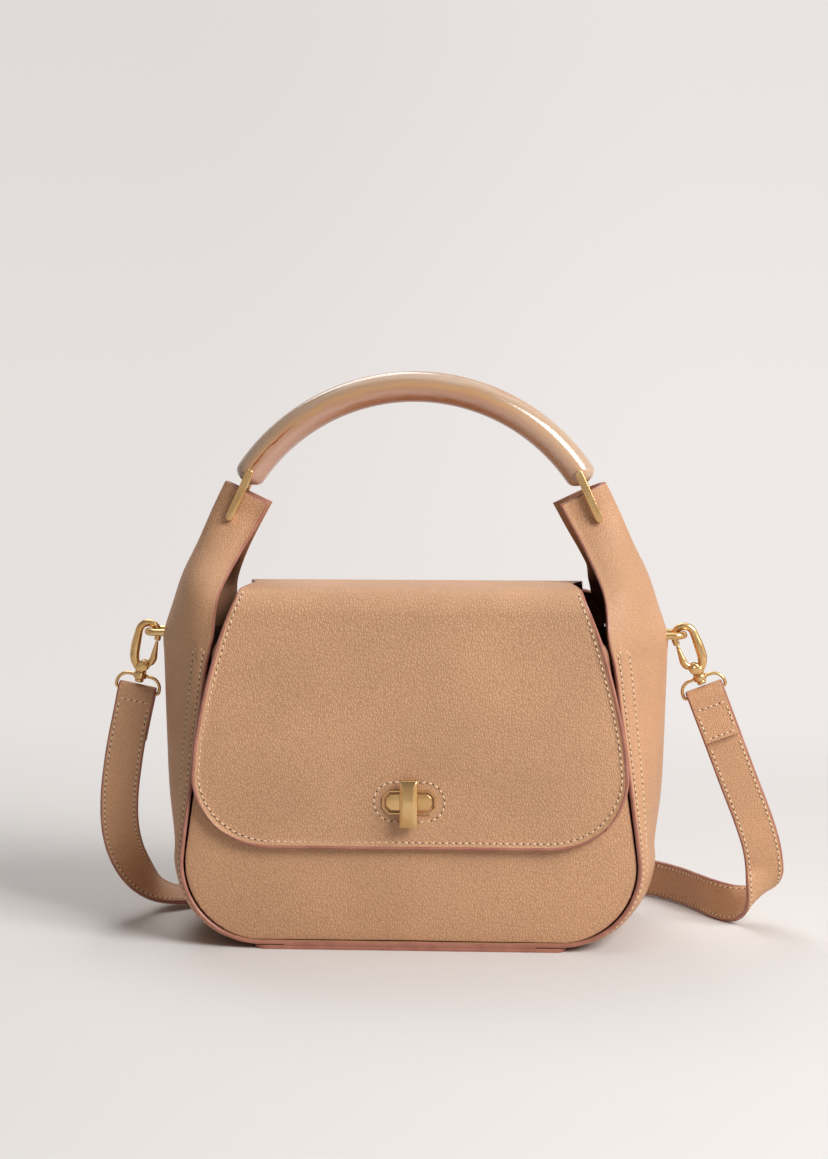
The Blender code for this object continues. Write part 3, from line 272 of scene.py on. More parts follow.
class Recipe:
    """A material being written: its nodes are added one by one and end in one Principled shader."""

    def __init__(self, name, color, roughness, **constants):
        self.material = bpy.data.materials.new(name)
        self.material.use_nodes = True
        self.tree = self.material.node_tree
        self.shader = self.tree.nodes["Principled BSDF"]
        self.set("Base Color", color)
        self.set("Roughness", roughness)
        for label, value in constants.items():
            self.set(label.replace("_", " "), value)

    def node(self, kind, settings=None, inputs=None, output=0):
        """Add a node, set its settings first and then the values or links of its sockets."""
        made = self.tree.nodes.new(kind)
        for label, value in (settings or {}).items():
            if label == "stops":
                ramp = made.color_ramp
                while len(ramp.elements) < len(value):
                    ramp.elements.new(0.5)
                for element, (position, color) in zip(ramp.elements, value):
                    element.position = position
                    element.color = color
            else:
                setattr(made, label, value)
        for label, value in (inputs or {}).items():
            self.join(made.inputs[label], value)
        return Wire(self, made.outputs[output])

    def join(self, socket, value):
        """Link a socket to a wire, or give it a plain value."""
        if isinstance(value, Wire):
            self.tree.links.new(value.socket, socket)
        else:
            socket.default_value = value

    def set(self, label, value):
        """Link or set an input of the closing shader."""
        self.join(self.shader.inputs[label], value)

    def mix(self, share, first, second):
        """Colour between two others."""
        settings = {"data_type": "RGBA", "blend_type": "MIX", "clamp_result": False}
        return self.node("ShaderNodeMix", settings, {0: share, 6: first, 7: second}, output=2)

    def stretched(self, place, scale):
        """Coordinates multiplied by a scale on each axis."""
        return self.node("ShaderNodeMapping", {}, {"Vector": place, "Scale": scale})

    def place(self, scale=(1.0, 1.0, 1.0)):
        """Object coordinates in metres, stretched by a scale."""
        return self.stretched(self.node("ShaderNodeTexCoord", output="Object"), scale)

    def axis(self, place, index):
        """X, Y or Z of coordinates, by its index."""
        return self.node("ShaderNodeSeparateXYZ", {}, {"Vector": place}, output=index)

    def noise(self, place, scale, detail=2.0, output=0):
        """Soft random value round 0.5, or its colour as output 1."""
        inputs = {"Vector": place, "Scale": scale, "Detail": detail}
        return self.node("ShaderNodeTexNoise", {"noise_dimensions": "3D"}, inputs, output)

    def cell_edges(self, place, scale):
        """Distance from the borders between random cells."""
        settings = {"feature": "DISTANCE_TO_EDGE"}
        return self.node("ShaderNodeTexVoronoi", settings, {"Vector": place, "Scale": scale})

    def span(self, value, low, high, to_low=0.0, to_high=1.0):
        """Value moved from one range to another with smooth ends."""
        settings = {"interpolation_type": "SMOOTHSTEP"}
        inputs = {"Value": value, "From Min": low, "From Max": high, "To Min": to_low, "To Max": to_high}
        return self.node("ShaderNodeMapRange", settings, inputs)

    def relief(self, height, depth):
        """Bump of a height from 0 to 1 that stands for a depth in metres."""
        inputs = {"Height": height, "Distance": depth, "Strength": 1.0}
        self.set("Normal", self.node("ShaderNodeBump", {}, inputs))


class SkyRecipe(Recipe):
    """The world being written in the same way: its nodes end in its Background."""

    def __init__(self, name, color):
        self.world = bpy.data.worlds.new(name)
        self.world.use_nodes = True
        self.tree = self.world.node_tree
        self.shader = self.tree.nodes["Background"]
        self.set("Color", color)


def tone(red, green, blue):
    """Linear colour of an sRGB colour written from 0 to 255."""
    share = np.array((red, green, blue)) / 255.0
    linear = np.where(share <= 0.04045, share / 12.92, ((share + 0.055) / 1.055) ** 2.4)
    return (*linear.tolist(), 1.0)


def pebbled(name, high, low, pebble, stretch, depth, roughness):
    """Pebbled leather: rounded grains between fine creases, over soft mottling.

    The crease share is 0 along the borders of stretched cells and rises to 1 inside them. It sets the
    relief, and mixes the darker crease colour into the grain colour as painted shade in the creases.
    """
    made = Recipe(name, high, roughness)
    here = made.place(stretch)
    wander = made.noise(here, pebble * 0.45, 3.0, output=1)
    inputs = {0: wander, 1: (0.9 / pebble,) * 3, 2: here}
    bent = made.node("ShaderNodeVectorMath", {"operation": "MULTIPLY_ADD"}, inputs)
    crease = made.span(made.cell_edges(bent, pebble), 0.0, 0.26)
    pores = made.noise(here, pebble * 2.6, 3.0)
    patches = made.noise(made.place(), 16.0, 3.0)
    dome = crease * 0.78 + pores * 0.22
    # Painted shade: the creases take the darker low colour.
    grain_with_crease_shade = made.mix(made.span(dome, 0.05, 0.6), low, high)
    shade = made.span(patches, 0.3, 0.7, 0.93, 1.05)
    worn = made.node("ShaderNodeVectorMath", {"operation": "SCALE"}, {0: grain_with_crease_shade, "Scale": shade})
    made.set("Base Color", worn)
    made.set("Roughness", roughness + 0.1 * (1.0 - crease) + 0.06 * (patches - 0.5))
    made.set("Specular IOR Level", 0.42)
    made.relief(dome, depth)
    return made.material


def suede(name, high, low, roughness):
    """Smooth raw or lined side of leather: fine fibre mottling and a low nap."""
    made = Recipe(name, high, roughness)
    here = made.place()
    fibre = made.noise(here, 1400.0, 4.0)
    patches = made.noise(here, 40.0, 3.0)
    made.set("Base Color", made.mix(made.span(fibre * 0.6 + patches * 0.4, 0.35, 0.65), low, high))
    made.relief(fibre, 0.00006)
    return made.material


def edge_paint(name, high, low):
    """Painted leather edge: a satin coat with slow waves along it and fine brush dust."""
    made = Recipe(name, high, 0.45, Coat_Weight=0.15)
    here = made.place()
    waves = made.noise(here, 120.0, 3.0)
    dust = made.noise(here, 1800.0, 2.0)
    made.set("Base Color", made.mix(made.span(waves, 0.3, 0.7), low, high))
    made.set("Roughness", 0.4 + 0.15 * dust)
    made.relief(waves * 0.7 + dust * 0.3, 0.0001)
    return made.material


def thread(name, high, low):
    """Waxed thread with a fine twist across each stitch."""
    made = Recipe(name, high, 0.6)
    here = made.place()
    twist = made.noise(here, 2600.0, 2.0)
    made.set("Base Color", made.mix(made.span(twist, 0.35, 0.65), low, high))
    made.relief(twist, 0.00008)
    return made.material


def gold(name, high, low, roughness):
    """Polished fitting: warm plated metal with faint brushing and handling marks."""
    made = Recipe(name, high, roughness, Metallic=1.0)
    here = made.place()
    marks = made.noise(here, 90.0, 4.0)
    brush = made.noise(made.place((1.0, 1.0, 0.12)), 2200.0, 2.0)
    made.set("Base Color", made.mix(made.span(marks, 0.35, 0.7), low, high))
    made.set("Roughness", roughness + 0.1 * (marks - 0.5) + 0.06 * (brush - 0.5))
    return made.material


def resin(name):
    """Marbled horn-like resin under a clear gloss.

    U of the handle's own map runs along the bar in bar widths, and V runs round it. The bands follow V
    bent by slow noise along U, from a reddish brown on the lower side over tan to grey-beige. The left
    end is paler below, the right end is paler all round as a painted highlight, and an orange vein runs
    in from the left end.
    """
    made = Recipe(name, tone(196, 158, 126), 0.16, Coat_Weight=0.6, Coat_Roughness=0.05)
    place = made.node("ShaderNodeUVMap")
    along, round_it = made.axis(place, 0), made.axis(place, 1)
    cloud = made.noise(made.stretched(place, (0.9, 3.0, 1.0)), 1.4, 4.0)
    fine = made.noise(made.stretched(place, (0.35, 9.0, 1.0)), 2.4, 5.0)
    band = round_it + 0.34 * (cloud - 0.5) + 0.16 * (fine - 0.5)
    stops = [
        (0.0, tone(150, 92, 64)),
        (0.18, tone(170, 112, 80)),
        (0.32, tone(188, 142, 118)),
        (0.46, tone(184, 136, 104)),
        (0.58, tone(190, 144, 98)),
        (0.72, tone(178, 144, 116)),
        (0.88, tone(182, 154, 130)),
        (1.0, tone(176, 132, 98)),
    ]
    marble = made.node("ShaderNodeValToRGB", {"stops": stops}, {"Fac": band})
    low = made.span(band, 0.12, 0.5, 1.0, 0.0)
    marble = made.mix(low * made.span(along, -5.0, -1.0, 0.75, 0.0), marble, tone(198, 166, 150))
    # Painted highlight: the right end is mixed towards a pale cream all round.
    marble = made.mix(made.span(along, 2.0, 4.5, 0.0, 0.4), marble, tone(210, 178, 150))
    off_vein = round_it + 0.22 * (cloud - 0.5) + 0.08 * (fine - 0.5) - 0.53
    off_vein = off_vein.math("ABSOLUTE", off_vein)
    inside = made.span(along, -6.3, -5.9) * made.span(along, -4.9, -3.9, 1.0, 0.0)
    vein = made.span(off_vein, 0.018, 0.036, 1.0, 0.0) * inside
    made.set("Base Color", made.mix(vein, marble, tone(148, 66, 22)))
    return made.material


def lining_cloth(name, high, low):
    """Woven twill: two crossed waves of threads with a soft slub."""
    made = Recipe(name, high, 0.85)
    threads = []
    for way in ((1.0, 1.0, 1.0), (-1.0, 1.0, 1.0)):
        settings = {"wave_type": "BANDS", "bands_direction": "DIAGONAL"}
        inputs = {"Vector": made.place(way), "Scale": 420.0, "Distortion": 0.6}
        threads.append(made.node("ShaderNodeTexWave", settings, inputs, output=1))
    slub = made.noise(made.place(), 60.0, 3.0)
    cloth = threads[0] * 0.5 + threads[1] * 0.5
    made.set("Base Color", made.mix(made.span(cloth * 0.7 + slub * 0.3, 0.3, 0.7), low, high))
    made.relief(cloth, 0.00015)
    return made.material


def fibre_board(name, high, low):
    """Pressed fibre board: matted short fibres."""
    made = Recipe(name, high, 0.85)
    mat = made.noise(made.place((1.0, 0.2, 1.0)), 900.0, 4.0)
    made.set("Base Color", made.mix(made.span(mat, 0.35, 0.65), low, high))
    made.relief(mat, 0.0001)
    return made.material


def backdrop_paper(name, floor, left, right):
    """Pale studio paper: a matt floor that keeps the shadow, then an even tone seen directly or mirrored.

    The even tone is a glow that starts softly between 0.15 m and 0.75 m behind the bag. It grows paler to
    the right and a little darker with height: painted light, as if from the lamps at the right and above.
    """
    made = Recipe(name, floor, 0.9)
    made.set("Specular IOR Level", 0.1)
    place = made.node("ShaderNodeTexCoord", output="Object")
    x, y, z = (made.axis(place, index) for index in range(3))
    camera = made.node("ShaderNodeLightPath", output="Is Camera Ray")
    glossy = made.node("ShaderNodeLightPath", output="Is Glossy Ray")
    seen = camera.math("MAXIMUM", camera, glossy)
    # Painted light on the glow: paler to the right, and a little dimmer with height below.
    color = made.mix(made.span(x, -0.5, 0.3), left, right)
    strength = made.span(z, 0.05, 0.8, 1.0, 0.94)
    glow = made.node("ShaderNodeEmission", {}, {"Color": color, "Strength": strength})
    share = made.span(y, 0.15, 0.75) * seen
    matt = Wire(made, made.shader.outputs[0])
    both = made.node("ShaderNodeMixShader", {}, {0: share, 1: matt, 2: glow})
    made.join(made.tree.nodes["Material Output"].inputs["Surface"], both)
    return made.material


# Points and faces


def quads(rows, across, wrap=False, wrap_rows=False):
    """Quads between neighbouring rows and columns of a grid, as point numbers."""
    steps = np.arange(rows if wrap_rows else rows - 1), np.arange(across if wrap else across - 1)
    i, j = np.meshgrid(*steps, indexing="ij")
    k, m = (i + 1) % rows, (j + 1) % across
    corners = [i * across + j, i * across + m, k * across + m, k * across + j]
    return np.stack(corners, axis=2).reshape(-1, 4)


def tube_faces(rows, sides):
    """Faces of a tube of rings, with one face across each end."""
    ends = [list(range(sides))[::-1], list(range((rows - 1) * sides, rows * sides))]
    return quads(rows, sides, wrap=True).tolist() + ends


def grid(x, y, z):
    """Grid of points from rows, columns and numbers, spread to one shape."""
    return np.stack(np.broadcast_arrays(x, y, z), axis=2)


def around(centre, reach, angle):
    """Points of a plane at centre + reach (cos, sin) of angles in radians."""
    return np.asarray(centre) + np.asarray(reach) * np.stack([np.cos(angle), np.sin(angle)], axis=-1)


def arc_points(centre, radius, start, end, steps):
    """Points of a plane on an arc between two angles in degrees."""
    return around(centre, radius, np.radians(np.linspace(start, end, steps)))


def run_length(path):
    """Length along a path at each of its points."""
    return np.concatenate([[0.0], np.cumsum(np.linalg.norm(np.diff(path, axis=0), axis=1))])


def read_at(values, run, at):
    """Rows of values read at lengths along their run."""
    return np.stack([np.interp(at, run, column) for column in values.T], axis=1)


def smooth_through(points, count, space=3, spread=24):
    """Catmull-Rom curve through the points, read at evenly spaced lengths of its first coordinates.

    Between points b and c, with neighbours a and d, it is half of
    2 b + (c - a) t + (2 a - 5 b + 4 c - d) t^2 + (3 b - a - 3 c + d) t^3.
    """
    p = np.asarray(points, float)
    p = np.vstack([2 * p[0] - p[1], p, 2 * p[-1] - p[-2]])
    t = np.linspace(0.0, 1.0, spread, endpoint=False)[None, :, None]
    a, b, c, d = (p[k : len(p) - 3 + k][:, None] for k in range(4))
    curve = 2 * b + (c - a) * t + (2 * a - 5 * b + 4 * c - d) * t**2 + (3 * b - a - 3 * c + d) * t**3
    curve = np.vstack([0.5 * curve.reshape(-1, p.shape[1]), p[-2]])
    run = run_length(curve[:, :space])
    return read_at(curve, run, np.linspace(0.0, run[-1], count))


def soft_step(value, low, high):
    """Smooth rise from 0 to 1 between two values."""
    t = np.clip((value - low) / (high - low), 0.0, 1.0)
    return t * t * (3 - 2 * t)


def unit(vectors):
    """Vectors scaled to length 1."""
    size = np.linalg.norm(vectors, axis=-1, keepdims=True)
    return vectors / np.maximum(size, 1e-9)


def grid_normals(points, wrap=False):
    """Unit normals of a grid: the cross product of its slopes across and along."""
    if wrap:
        padded = np.concatenate([points[:, -1:], points, points[:, :1]], axis=1)
        slope_across = np.gradient(padded, axis=1)[:, 1:-1]
    else:
        slope_across = np.gradient(points, axis=1)
    return unit(np.cross(slope_across, np.gradient(points, axis=0)))


def tighten(values, axis, start, end, ease, steps):
    """Grid with two rows added inside each eased end, ease (1 - sin t) from it, t at 45 and 0 degrees."""
    values = np.moveaxis(values, axis, 0)

    def beside(edge, inner):
        """The two rows added next to an end row, on the way to its neighbour."""
        step = unit(inner - edge) * ease if steps else edge * 0.0
        return [(edge + step * (1 - sin(pi / 4)))[None], (edge + step)[None]]

    parts = [values[:1]]
    if start:
        parts += beside(values[0], values[1])
    parts.append(values[1:-1])
    if end:
        parts += beside(values[-1], values[-2])[::-1]
    parts.append(values[-1:])
    return np.moveaxis(np.concatenate(parts), 0, axis)


def eased_fall(count, start, end, ease):
    """How far the half thickness falls at each row: ease (1 - cos t) towards an eased end."""
    fall = np.zeros(count)
    bend = ease * (1 - cos(pi / 4))
    if start:
        fall[:2] = ease, bend
    if end:
        fall[-2:] = bend, ease
    return fall


# Shells


def wall(first, second, count):
    """Quads between the outer points of an edge and its inner ones, which are numbered count higher."""
    return np.stack([first, second, second + count, first + count], axis=1)


def sheet(outer, thickness=LEATHER, eased=(True,) * 4, ease=EDGE_EASE, wrap=False, flip=False, painted=2):
    """Closed sheet under an outer surface, with rounded edges where eased (first row, last row, two sides).

    A point of the outer face lies at the middle surface plus the normal times the half thickness, and
    the inner one at minus that. The half thickness falls towards each eased edge. Finish 0 is the outer
    face, 1 the inner and 2 the edge with the painted rows beside it.
    """
    normal = grid_normals(outer, wrap)
    if flip:
        normal = -normal
    sides = (False, False) if wrap else eased[2:]
    points = tighten(tighten(outer, 0, *eased[:2], ease, True), 1, *sides, ease, True)
    normal = unit(tighten(tighten(normal, 0, *eased[:2], ease, False), 1, *sides, ease, False))
    rows, across = points.shape[:2]
    fall = eased_fall(rows, *eased[:2], ease)[:, None] + eased_fall(across, *sides, ease)[None, :]
    middle = points - normal * thickness / 2.0
    out = normal * (thickness / 2.0 - np.minimum(fall, ease))[..., None]
    both = np.concatenate([(middle + out).reshape(-1, 3), (middle - out).reshape(-1, 3)])
    face = quads(rows, across, wrap)
    count = rows * across
    row_of, column_of = np.divmod(face.min(axis=1), across)
    near = (eased[0] & (row_of < painted)) | (eased[1] & (row_of > rows - 2 - painted))
    near |= (sides[0] & (column_of < painted)) | (sides[1] & (column_of > across - 2 - painted))
    j = np.arange(across if wrap else across - 1)
    m = (j + 1) % across
    last = (rows - 1) * across
    rim = [wall(m, j, count), wall(last + j, last + m, count)]
    if not wrap:
        i = np.arange(rows - 1) * across
        k = i + across
        side = across - 1
        rim += [wall(i, k, count), wall(k + side, i + side, count)]
    rim = np.concatenate(rim)
    faces = np.concatenate([face, face[:, ::-1] + count, rim])
    marks = np.concatenate([np.where(near, 2, 0), np.where(near, 2, 1), np.full(len(rim), 2)])
    if flip:
        faces = faces[:, ::-1]
    return both, faces.tolist(), marks


def tangents(path, closed=False):
    """Unit directions along a path."""
    if closed:
        return unit(np.roll(path, -1, axis=0) - np.roll(path, 1, axis=0))
    return unit(np.gradient(path, axis=0))


def bar(path, radius, up, sides=16, closed=False, dome=1.0, flat=1.0):
    """Round bar along a path: each ring is path + r (cos t side + flat sin t top), with domed ends.

    Side is the tangent crossed with the up direction, and top is side crossed with the tangent.
    """
    path = np.asarray(path, float)
    radius = np.broadcast_to(np.asarray(radius, float), len(path)).copy()
    if not closed:
        turn = np.radians([82.0, 55.0, 28.0])
        first, last = unit(path[0] - path[1]), unit(path[-1] - path[-2])
        start = path[0] + first * (np.sin(turn) * radius[0] * dome)[:, None]
        end = path[-1] + last * (np.sin(turn[::-1]) * radius[-1] * dome)[:, None]
        path = np.concatenate([start, path, end])
        radius = np.concatenate([np.cos(turn) * radius[0], radius, np.cos(turn[::-1]) * radius[-1]])
    tangent = tangents(path, closed)
    side = unit(np.cross(tangent, np.asarray(up, float)))
    top = np.cross(side, tangent)
    t = np.linspace(0.0, 2 * pi, sides, endpoint=False)[None, :, None]
    ring = np.cos(t) * side[:, None] + flat * np.sin(t) * top[:, None]
    rings = path[:, None] + radius[:, None, None] * ring
    faces = quads(len(path), sides, True, True).tolist() if closed else tube_faces(len(path), sides)
    return rings.reshape(-1, 3), faces, np.zeros(len(faces))


def turned(profile, centre, axis, sides=32):
    """Turned piece: the profile's (radius, height) pairs carried round an axis and closed at both ends."""
    axis = unit(np.asarray(axis, float))
    first = unit(np.cross(axis, [0.3, 0.9, 0.2]))
    second = np.cross(axis, first)
    radius, height = np.asarray(profile, float).T[:, :, None, None]
    t = np.linspace(0.0, 2 * pi, sides, endpoint=False)[:, None]
    rings = np.asarray(centre, float) + height * axis + radius * (np.cos(t) * first + np.sin(t) * second)
    faces = tube_faces(len(profile), sides)
    return rings.reshape(-1, 3), faces, np.zeros(len(faces))


def both_ways(profile):
    """Profile of (radius, height) pairs with its mirror image below height 0 before it."""
    return [(radius, -height) for radius, height in reversed(profile)] + profile


def upright_rings(levels):
    """Rings in XZ at depths along Y, from (outline function, inset, depth) levels."""
    rings = []
    for outline_at, inset, y in levels:
        outline = np.asarray(outline_at(inset), float)
        rings.append(np.stack([outline[:, 0], np.full(len(outline), y), outline[:, 1]], axis=1))
    return np.array(rings)


def slab(outline_at, low, high, ease, mark=0):
    """Upright plate along Y: outline_at(inset) gives its XZ outline, drawn in at the front and back edges."""
    t = np.radians([90.0, 60.0, 30.0, 0.0])
    eased = list(zip(ease * (1 - np.cos(t)), ease * (1 - np.sin(t))))
    levels = [(outline_at, inset, low + rise) for inset, rise in eased]
    levels += [(outline_at, inset, high - rise) for inset, rise in reversed(eased)]
    rings = upright_rings(levels)
    faces = tube_faces(*rings.shape[:2])
    return rings.reshape(-1, 3), faces, np.full(len(faces), mark)


def rim_slab(outer_at, inner_at, low, high, ease):
    """Upright frame along Y between an outer and an inner outline, all four long edges eased."""
    t = np.radians([0.0, 45.0, 90.0])
    eased = list(zip(ease * (1 - np.cos(t)), ease * (1 - np.sin(t))))
    levels = [(outer_at, inset, low + rise) for inset, rise in eased]
    levels += [(inner_at, -inset, low + rise) for inset, rise in reversed(eased)]
    levels += [(inner_at, -inset, high - rise) for inset, rise in eased]
    levels += [(outer_at, inset, high - rise) for inset, rise in reversed(eased)]
    rings = upright_rings(levels)
    faces = quads(*rings.shape[:2], wrap=True, wrap_rows=True)
    return rings.reshape(-1, 3), faces.tolist(), np.zeros(len(faces))


def moved(shell, matrix):
    """Shell after a transform; a mirroring one also turns its faces round."""
    points, faces, marks = shell
    turn = np.array(matrix.to_3x3())
    points = points @ turn.T + np.array(matrix.to_translation())
    if matrix.determinant() < 0:
        faces = [face[::-1] for face in faces]
    return points, faces, marks


def linked(name, data):
    """New object of a mesh, lamp or camera, in the scene."""
    made = bpy.data.objects.new(name, data)
    bpy.context.scene.collection.objects.link(made)
    return made


def piece(name, shells, finishes, body, stands_for=(), sharp=38.0):
    """One named object made of shells, riding on a body and standing for CAD nodes."""
    points, faces, marks, offset = [], [], [], 0
    for shell_points, shell_faces, shell_marks in shells:
        points.append(shell_points)
        faces += [[index + offset for index in face] for face in shell_faces]
        marks.append(shell_marks)
        offset += len(shell_points)
    mesh = bpy.data.meshes.new(name)
    mesh.from_pydata((np.concatenate(points) * MM).tolist(), [], faces)
    for finish in finishes:
        mesh.materials.append(finish)
    mesh.polygons.foreach_set("material_index", np.concatenate(marks).astype(np.int32))
    mesh.shade_smooth()
    mesh.set_sharp_from_angle(angle=radians(sharp))
    made = linked(name, mesh)
    if body is not None:
        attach(made, body)
    if stands_for:
        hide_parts(*stands_for)
    return made


def gold_piece(name, shells, body, node, sharp=38.0):
    """Polished fitting that stands for one CAD node."""
    return piece(name, shells, [GOLD], body, [node], sharp)


def mirrored(side):
    """Transform from the right side to a side: 1 leaves a shell as it is and -1 mirrors it."""
    return Matrix.Diagonal((side, 1.0, 1.0, 1.0))


# Panels


def corner_tangent():
    """Angle on the panel's bottom corner at which its straight side starts, in degrees."""
    dx, dz = SEAM_TOP_HALF - CORNER_X, SEAM_TOP_Z - CORNER_Z
    return degrees(atan2(dz, dx) - acos(CORNER_R / hypot(dx, dz)))


def panel_sides(z, inset=0.0):
    """Half width of the panels: a round bottom corner, then a straight side that leans in."""
    angle = radians(corner_tangent())
    radius = CORNER_R - inset
    touch_z = CORNER_Z + radius * sin(angle)
    z = np.asarray(z, float)
    low = CORNER_X + np.sqrt(np.maximum(0.0, radius**2 - np.clip(CORNER_Z - z, -radius, radius) ** 2))
    high = CORNER_X + radius * cos(angle) - (z - touch_z) * sin(angle) / cos(angle)
    return np.where(z < touch_z, low, high)


def panel_heights(top):
    """Heights up a panel: close together at the round bottom, then evenly."""
    low = PANEL_Z + 0.5 * np.arange(24) * (1.0 + 0.115 * np.arange(24))
    return np.concatenate([low, np.linspace(low[-1], top, 50)[1:]])


def pillow(x, z, half, low, high):
    """Soft swell of a panel: 1 in the middle, 0 at the sides, bottom and top."""
    rise = np.clip((z - low) / (high - low), 0.0, 1.0)
    return (1.0 - (x / half) ** 2) * np.sin(pi * rise) ** 0.8


def front_panel():
    """Front leather, width by height.

    It swells by (1 - s^6) (1 - l^4) of its full swell, with s the share of the half width and l the share
    left of its foot's height. The swell ends below its top, and slow waves are added to it.
    """
    turn = FRONT_PANEL_ROUND
    z = panel_heights(FRONT_PANEL_TOP - turn)
    half = panel_sides(z, -0.2)
    angle = np.radians(np.linspace(0.0, 80.0, 8))[1:]
    z = np.concatenate([z, FRONT_PANEL_TOP - turn + turn * np.sin(angle)])[:, None]
    half = np.concatenate([half, half[-1] - turn + turn * np.cos(angle)])[:, None]
    share = np.linspace(-1.0, 1.0, 90)
    x = half * share
    low = 1.0 - np.clip((z - PANEL_Z) / FRONT_FOOT, 0.0, 1.0)
    swell = FRONT_SWELL * (1.0 - share**6) * (1.0 - low**4) * (1.0 - soft_step(z, 90.0, 160.0))
    swell += 0.2 * np.sin(x / 31.0 + z / 23.0) * (1.0 - share**2)
    shell = sheet(grid(x, -PANEL_FACE - swell, z))
    finishes = [BODY_LEATHER, INNER_LEATHER, EDGE_PAINT]
    return piece("front_panel_leather", [shell], finishes, "bag", ["front_panel"])


def flap_top_z(y):
    """Height of the flap's top: a low crown that falls away towards the back."""
    drop = (FLAP_CROWN[1] - FLAP_BACK_Z) / (PANEL_FACE - FLAP_CROWN[0]) ** 2
    return FLAP_CROWN[1] - drop * (y - FLAP_CROWN[0]) ** 2


def flap_top_half(y):
    """Half width of the flap's top at a depth."""
    table = np.array(FLAP_TOP_HALF)
    curve = smooth_through(table, 60, space=1)
    return np.interp(-np.asarray(y, float), -curve[:, 0], curve[:, 1])


def back_and_top():
    """Back panel that turns over the top edge in one piece of leather, up to the flap's middle.

    The profile climbs the back, rounds the upper corner and runs forward; the half width follows the
    panel's sides, then a quarter ellipse over the shoulders and the flap's top.
    """
    z = panel_heights(SEAM_TOP_Z)
    low = np.stack([np.full(len(z), PANEL_FACE), z, panel_sides(z)], axis=1)
    turn = smooth_through([(PANEL_FACE, SEAM_TOP_Z)] + BACK_CORNER, 40, space=2)[1:]
    rise = np.clip((turn[:, 1] - SEAM_TOP_Z) / (BACK_PANEL_TOP - SEAM_TOP_Z), 0.0, 1.0)
    shoulder = FLAP_TOP_HALF[0][1] + (SEAM_TOP_HALF - FLAP_TOP_HALF[0][1]) * (1.0 - rise**2) ** 0.3
    upper = np.where(turn[:, 1] < BACK_PANEL_TOP, shoulder, flap_top_half(turn[:, 0]))
    profile = np.concatenate([low, np.stack([turn[:, 0], turn[:, 1], upper], axis=1)])
    y, z, half = profile.T[:, :, None]
    x = half * np.linspace(1.0, -1.0, 90)
    swell = BACK_SWELL * pillow(x, z, half, PANEL_Z, 168.0)
    shell = sheet(grid(x, y + swell, z), eased=(True, False, True, True))
    finishes = [BODY_LEATHER, INNER_LEATHER, EDGE_PAINT]
    covered = ["back_panel", "flap_top"]
    made = piece("back_and_flap_top_leather", [shell], finishes, None, covered)
    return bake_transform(made)


def flap_sides(z):
    """Half width of the flap's front above its round corners, on a smooth curve."""
    curve = smooth_through(FLAP_SIDE, 80, space=2)
    return np.interp(z, curve[:, 1], curve[:, 0])


def flap_profile():
    """Depth, height and half width down the flap to its widest line: top, round bend and front."""
    bend_y = FLAP_FACE_Y + FLAP_BEND
    bend_z = flap_top_z(bend_y) - FLAP_BEND
    y = np.linspace(FLAP_JOIN_Y, bend_y, 24)
    top = np.stack([y, flap_top_z(y), flap_top_half(y)], axis=1)
    angle = np.radians(np.linspace(90.0, 180.0, 22))[1:]
    bend = around((bend_y, bend_z), FLAP_BEND, angle)
    share = (np.degrees(angle) - 90.0) / (FLAP_SPLIT - 90.0)
    early = FLAP_TOP_HALF[-1][1] + (FLAP_BEND_HALF - FLAP_TOP_HALF[-1][1]) * share
    late = flap_sides(bend[:, 1])
    bend = np.column_stack([bend, np.where(np.degrees(angle) < FLAP_SPLIT, early, late)])
    z = np.linspace(bend[-1, 1], FLAP_WIDE_Z, 48)[1:]
    front = np.stack([np.full(len(z), FLAP_FACE_Y), z, flap_sides(z)], axis=1)
    return np.concatenate([top, bend, front])


def flap_lower(share):
    """X and Z of the flap's front below its widest line, width by height.

    It is a Coons patch: the blend of the straight upper row with the lower outline, plus the blend of
    the two sides, less the blend of the four corners. The sides take the first half of the round
    corners and the lower outline takes the rest. Rows lie close together near the bottom.
    """
    reach = np.array([FLAP_CORNER_X, FLAP_WIDE_Z - FLAP_BOTTOM_Z])
    centre = np.array([FLAP_WIDE_HALF - FLAP_CORNER_X, FLAP_WIDE_Z])
    away = np.array([0.0, 1.5, 2.4, 3.4, 4.6])
    down = np.concatenate([np.linspace(reach[1], 6.5, 16)[1:], away[::-1]])
    r = (1.0 - down / reach[1])[:, None, None]
    right = around(centre, reach, np.radians(-45.0 * r[:, 0, 0]))
    corner = around(centre, reach, np.radians(np.linspace(-90.0, -45.0, 40)))
    half = np.concatenate([[[0.0, FLAP_BOTTOM_Z]], corner])
    run = run_length(half)
    low = read_at(half, run, np.abs(share) * run[-1])
    low[:, 0] *= np.sign(share)
    high = np.column_stack([share * FLAP_WIDE_HALF, np.full(len(share), FLAP_WIDE_Z)])
    c = (0.5 - 0.5 * share)[None, :, None]
    sides = (1.0 - c) * right[:, None] + c * (right * np.array([-1.0, 1.0]))[:, None]
    first, last = (1.0 - r) * high[0] + r * low[0], (1.0 - r) * high[-1] + r * low[-1]
    return (1.0 - r) * high + r * low + sides - (1.0 - c) * first - c * last


def flap_swell(x, z, half):
    """How far the flap's front stands out: a soft belly and slow waves, none round the lock."""
    level = soft_step(z, 60.0, 100.0) * (1.0 - soft_step(z, 150.0, 182.0))
    belly = FLAP_BELLY * (1.0 - (x / half) ** 2) * level
    waves = 0.22 * np.sin(x / 27.0 + z / 19.0) + 0.18 * np.sin(x / 17.0 - z / 31.0)
    clear = soft_step(np.hypot(x, (z - LOCK_Z) * 1.6), 24.0, 48.0)
    return (belly + waves * (1.0 - soft_step(z, 150.0, 178.0))) * clear


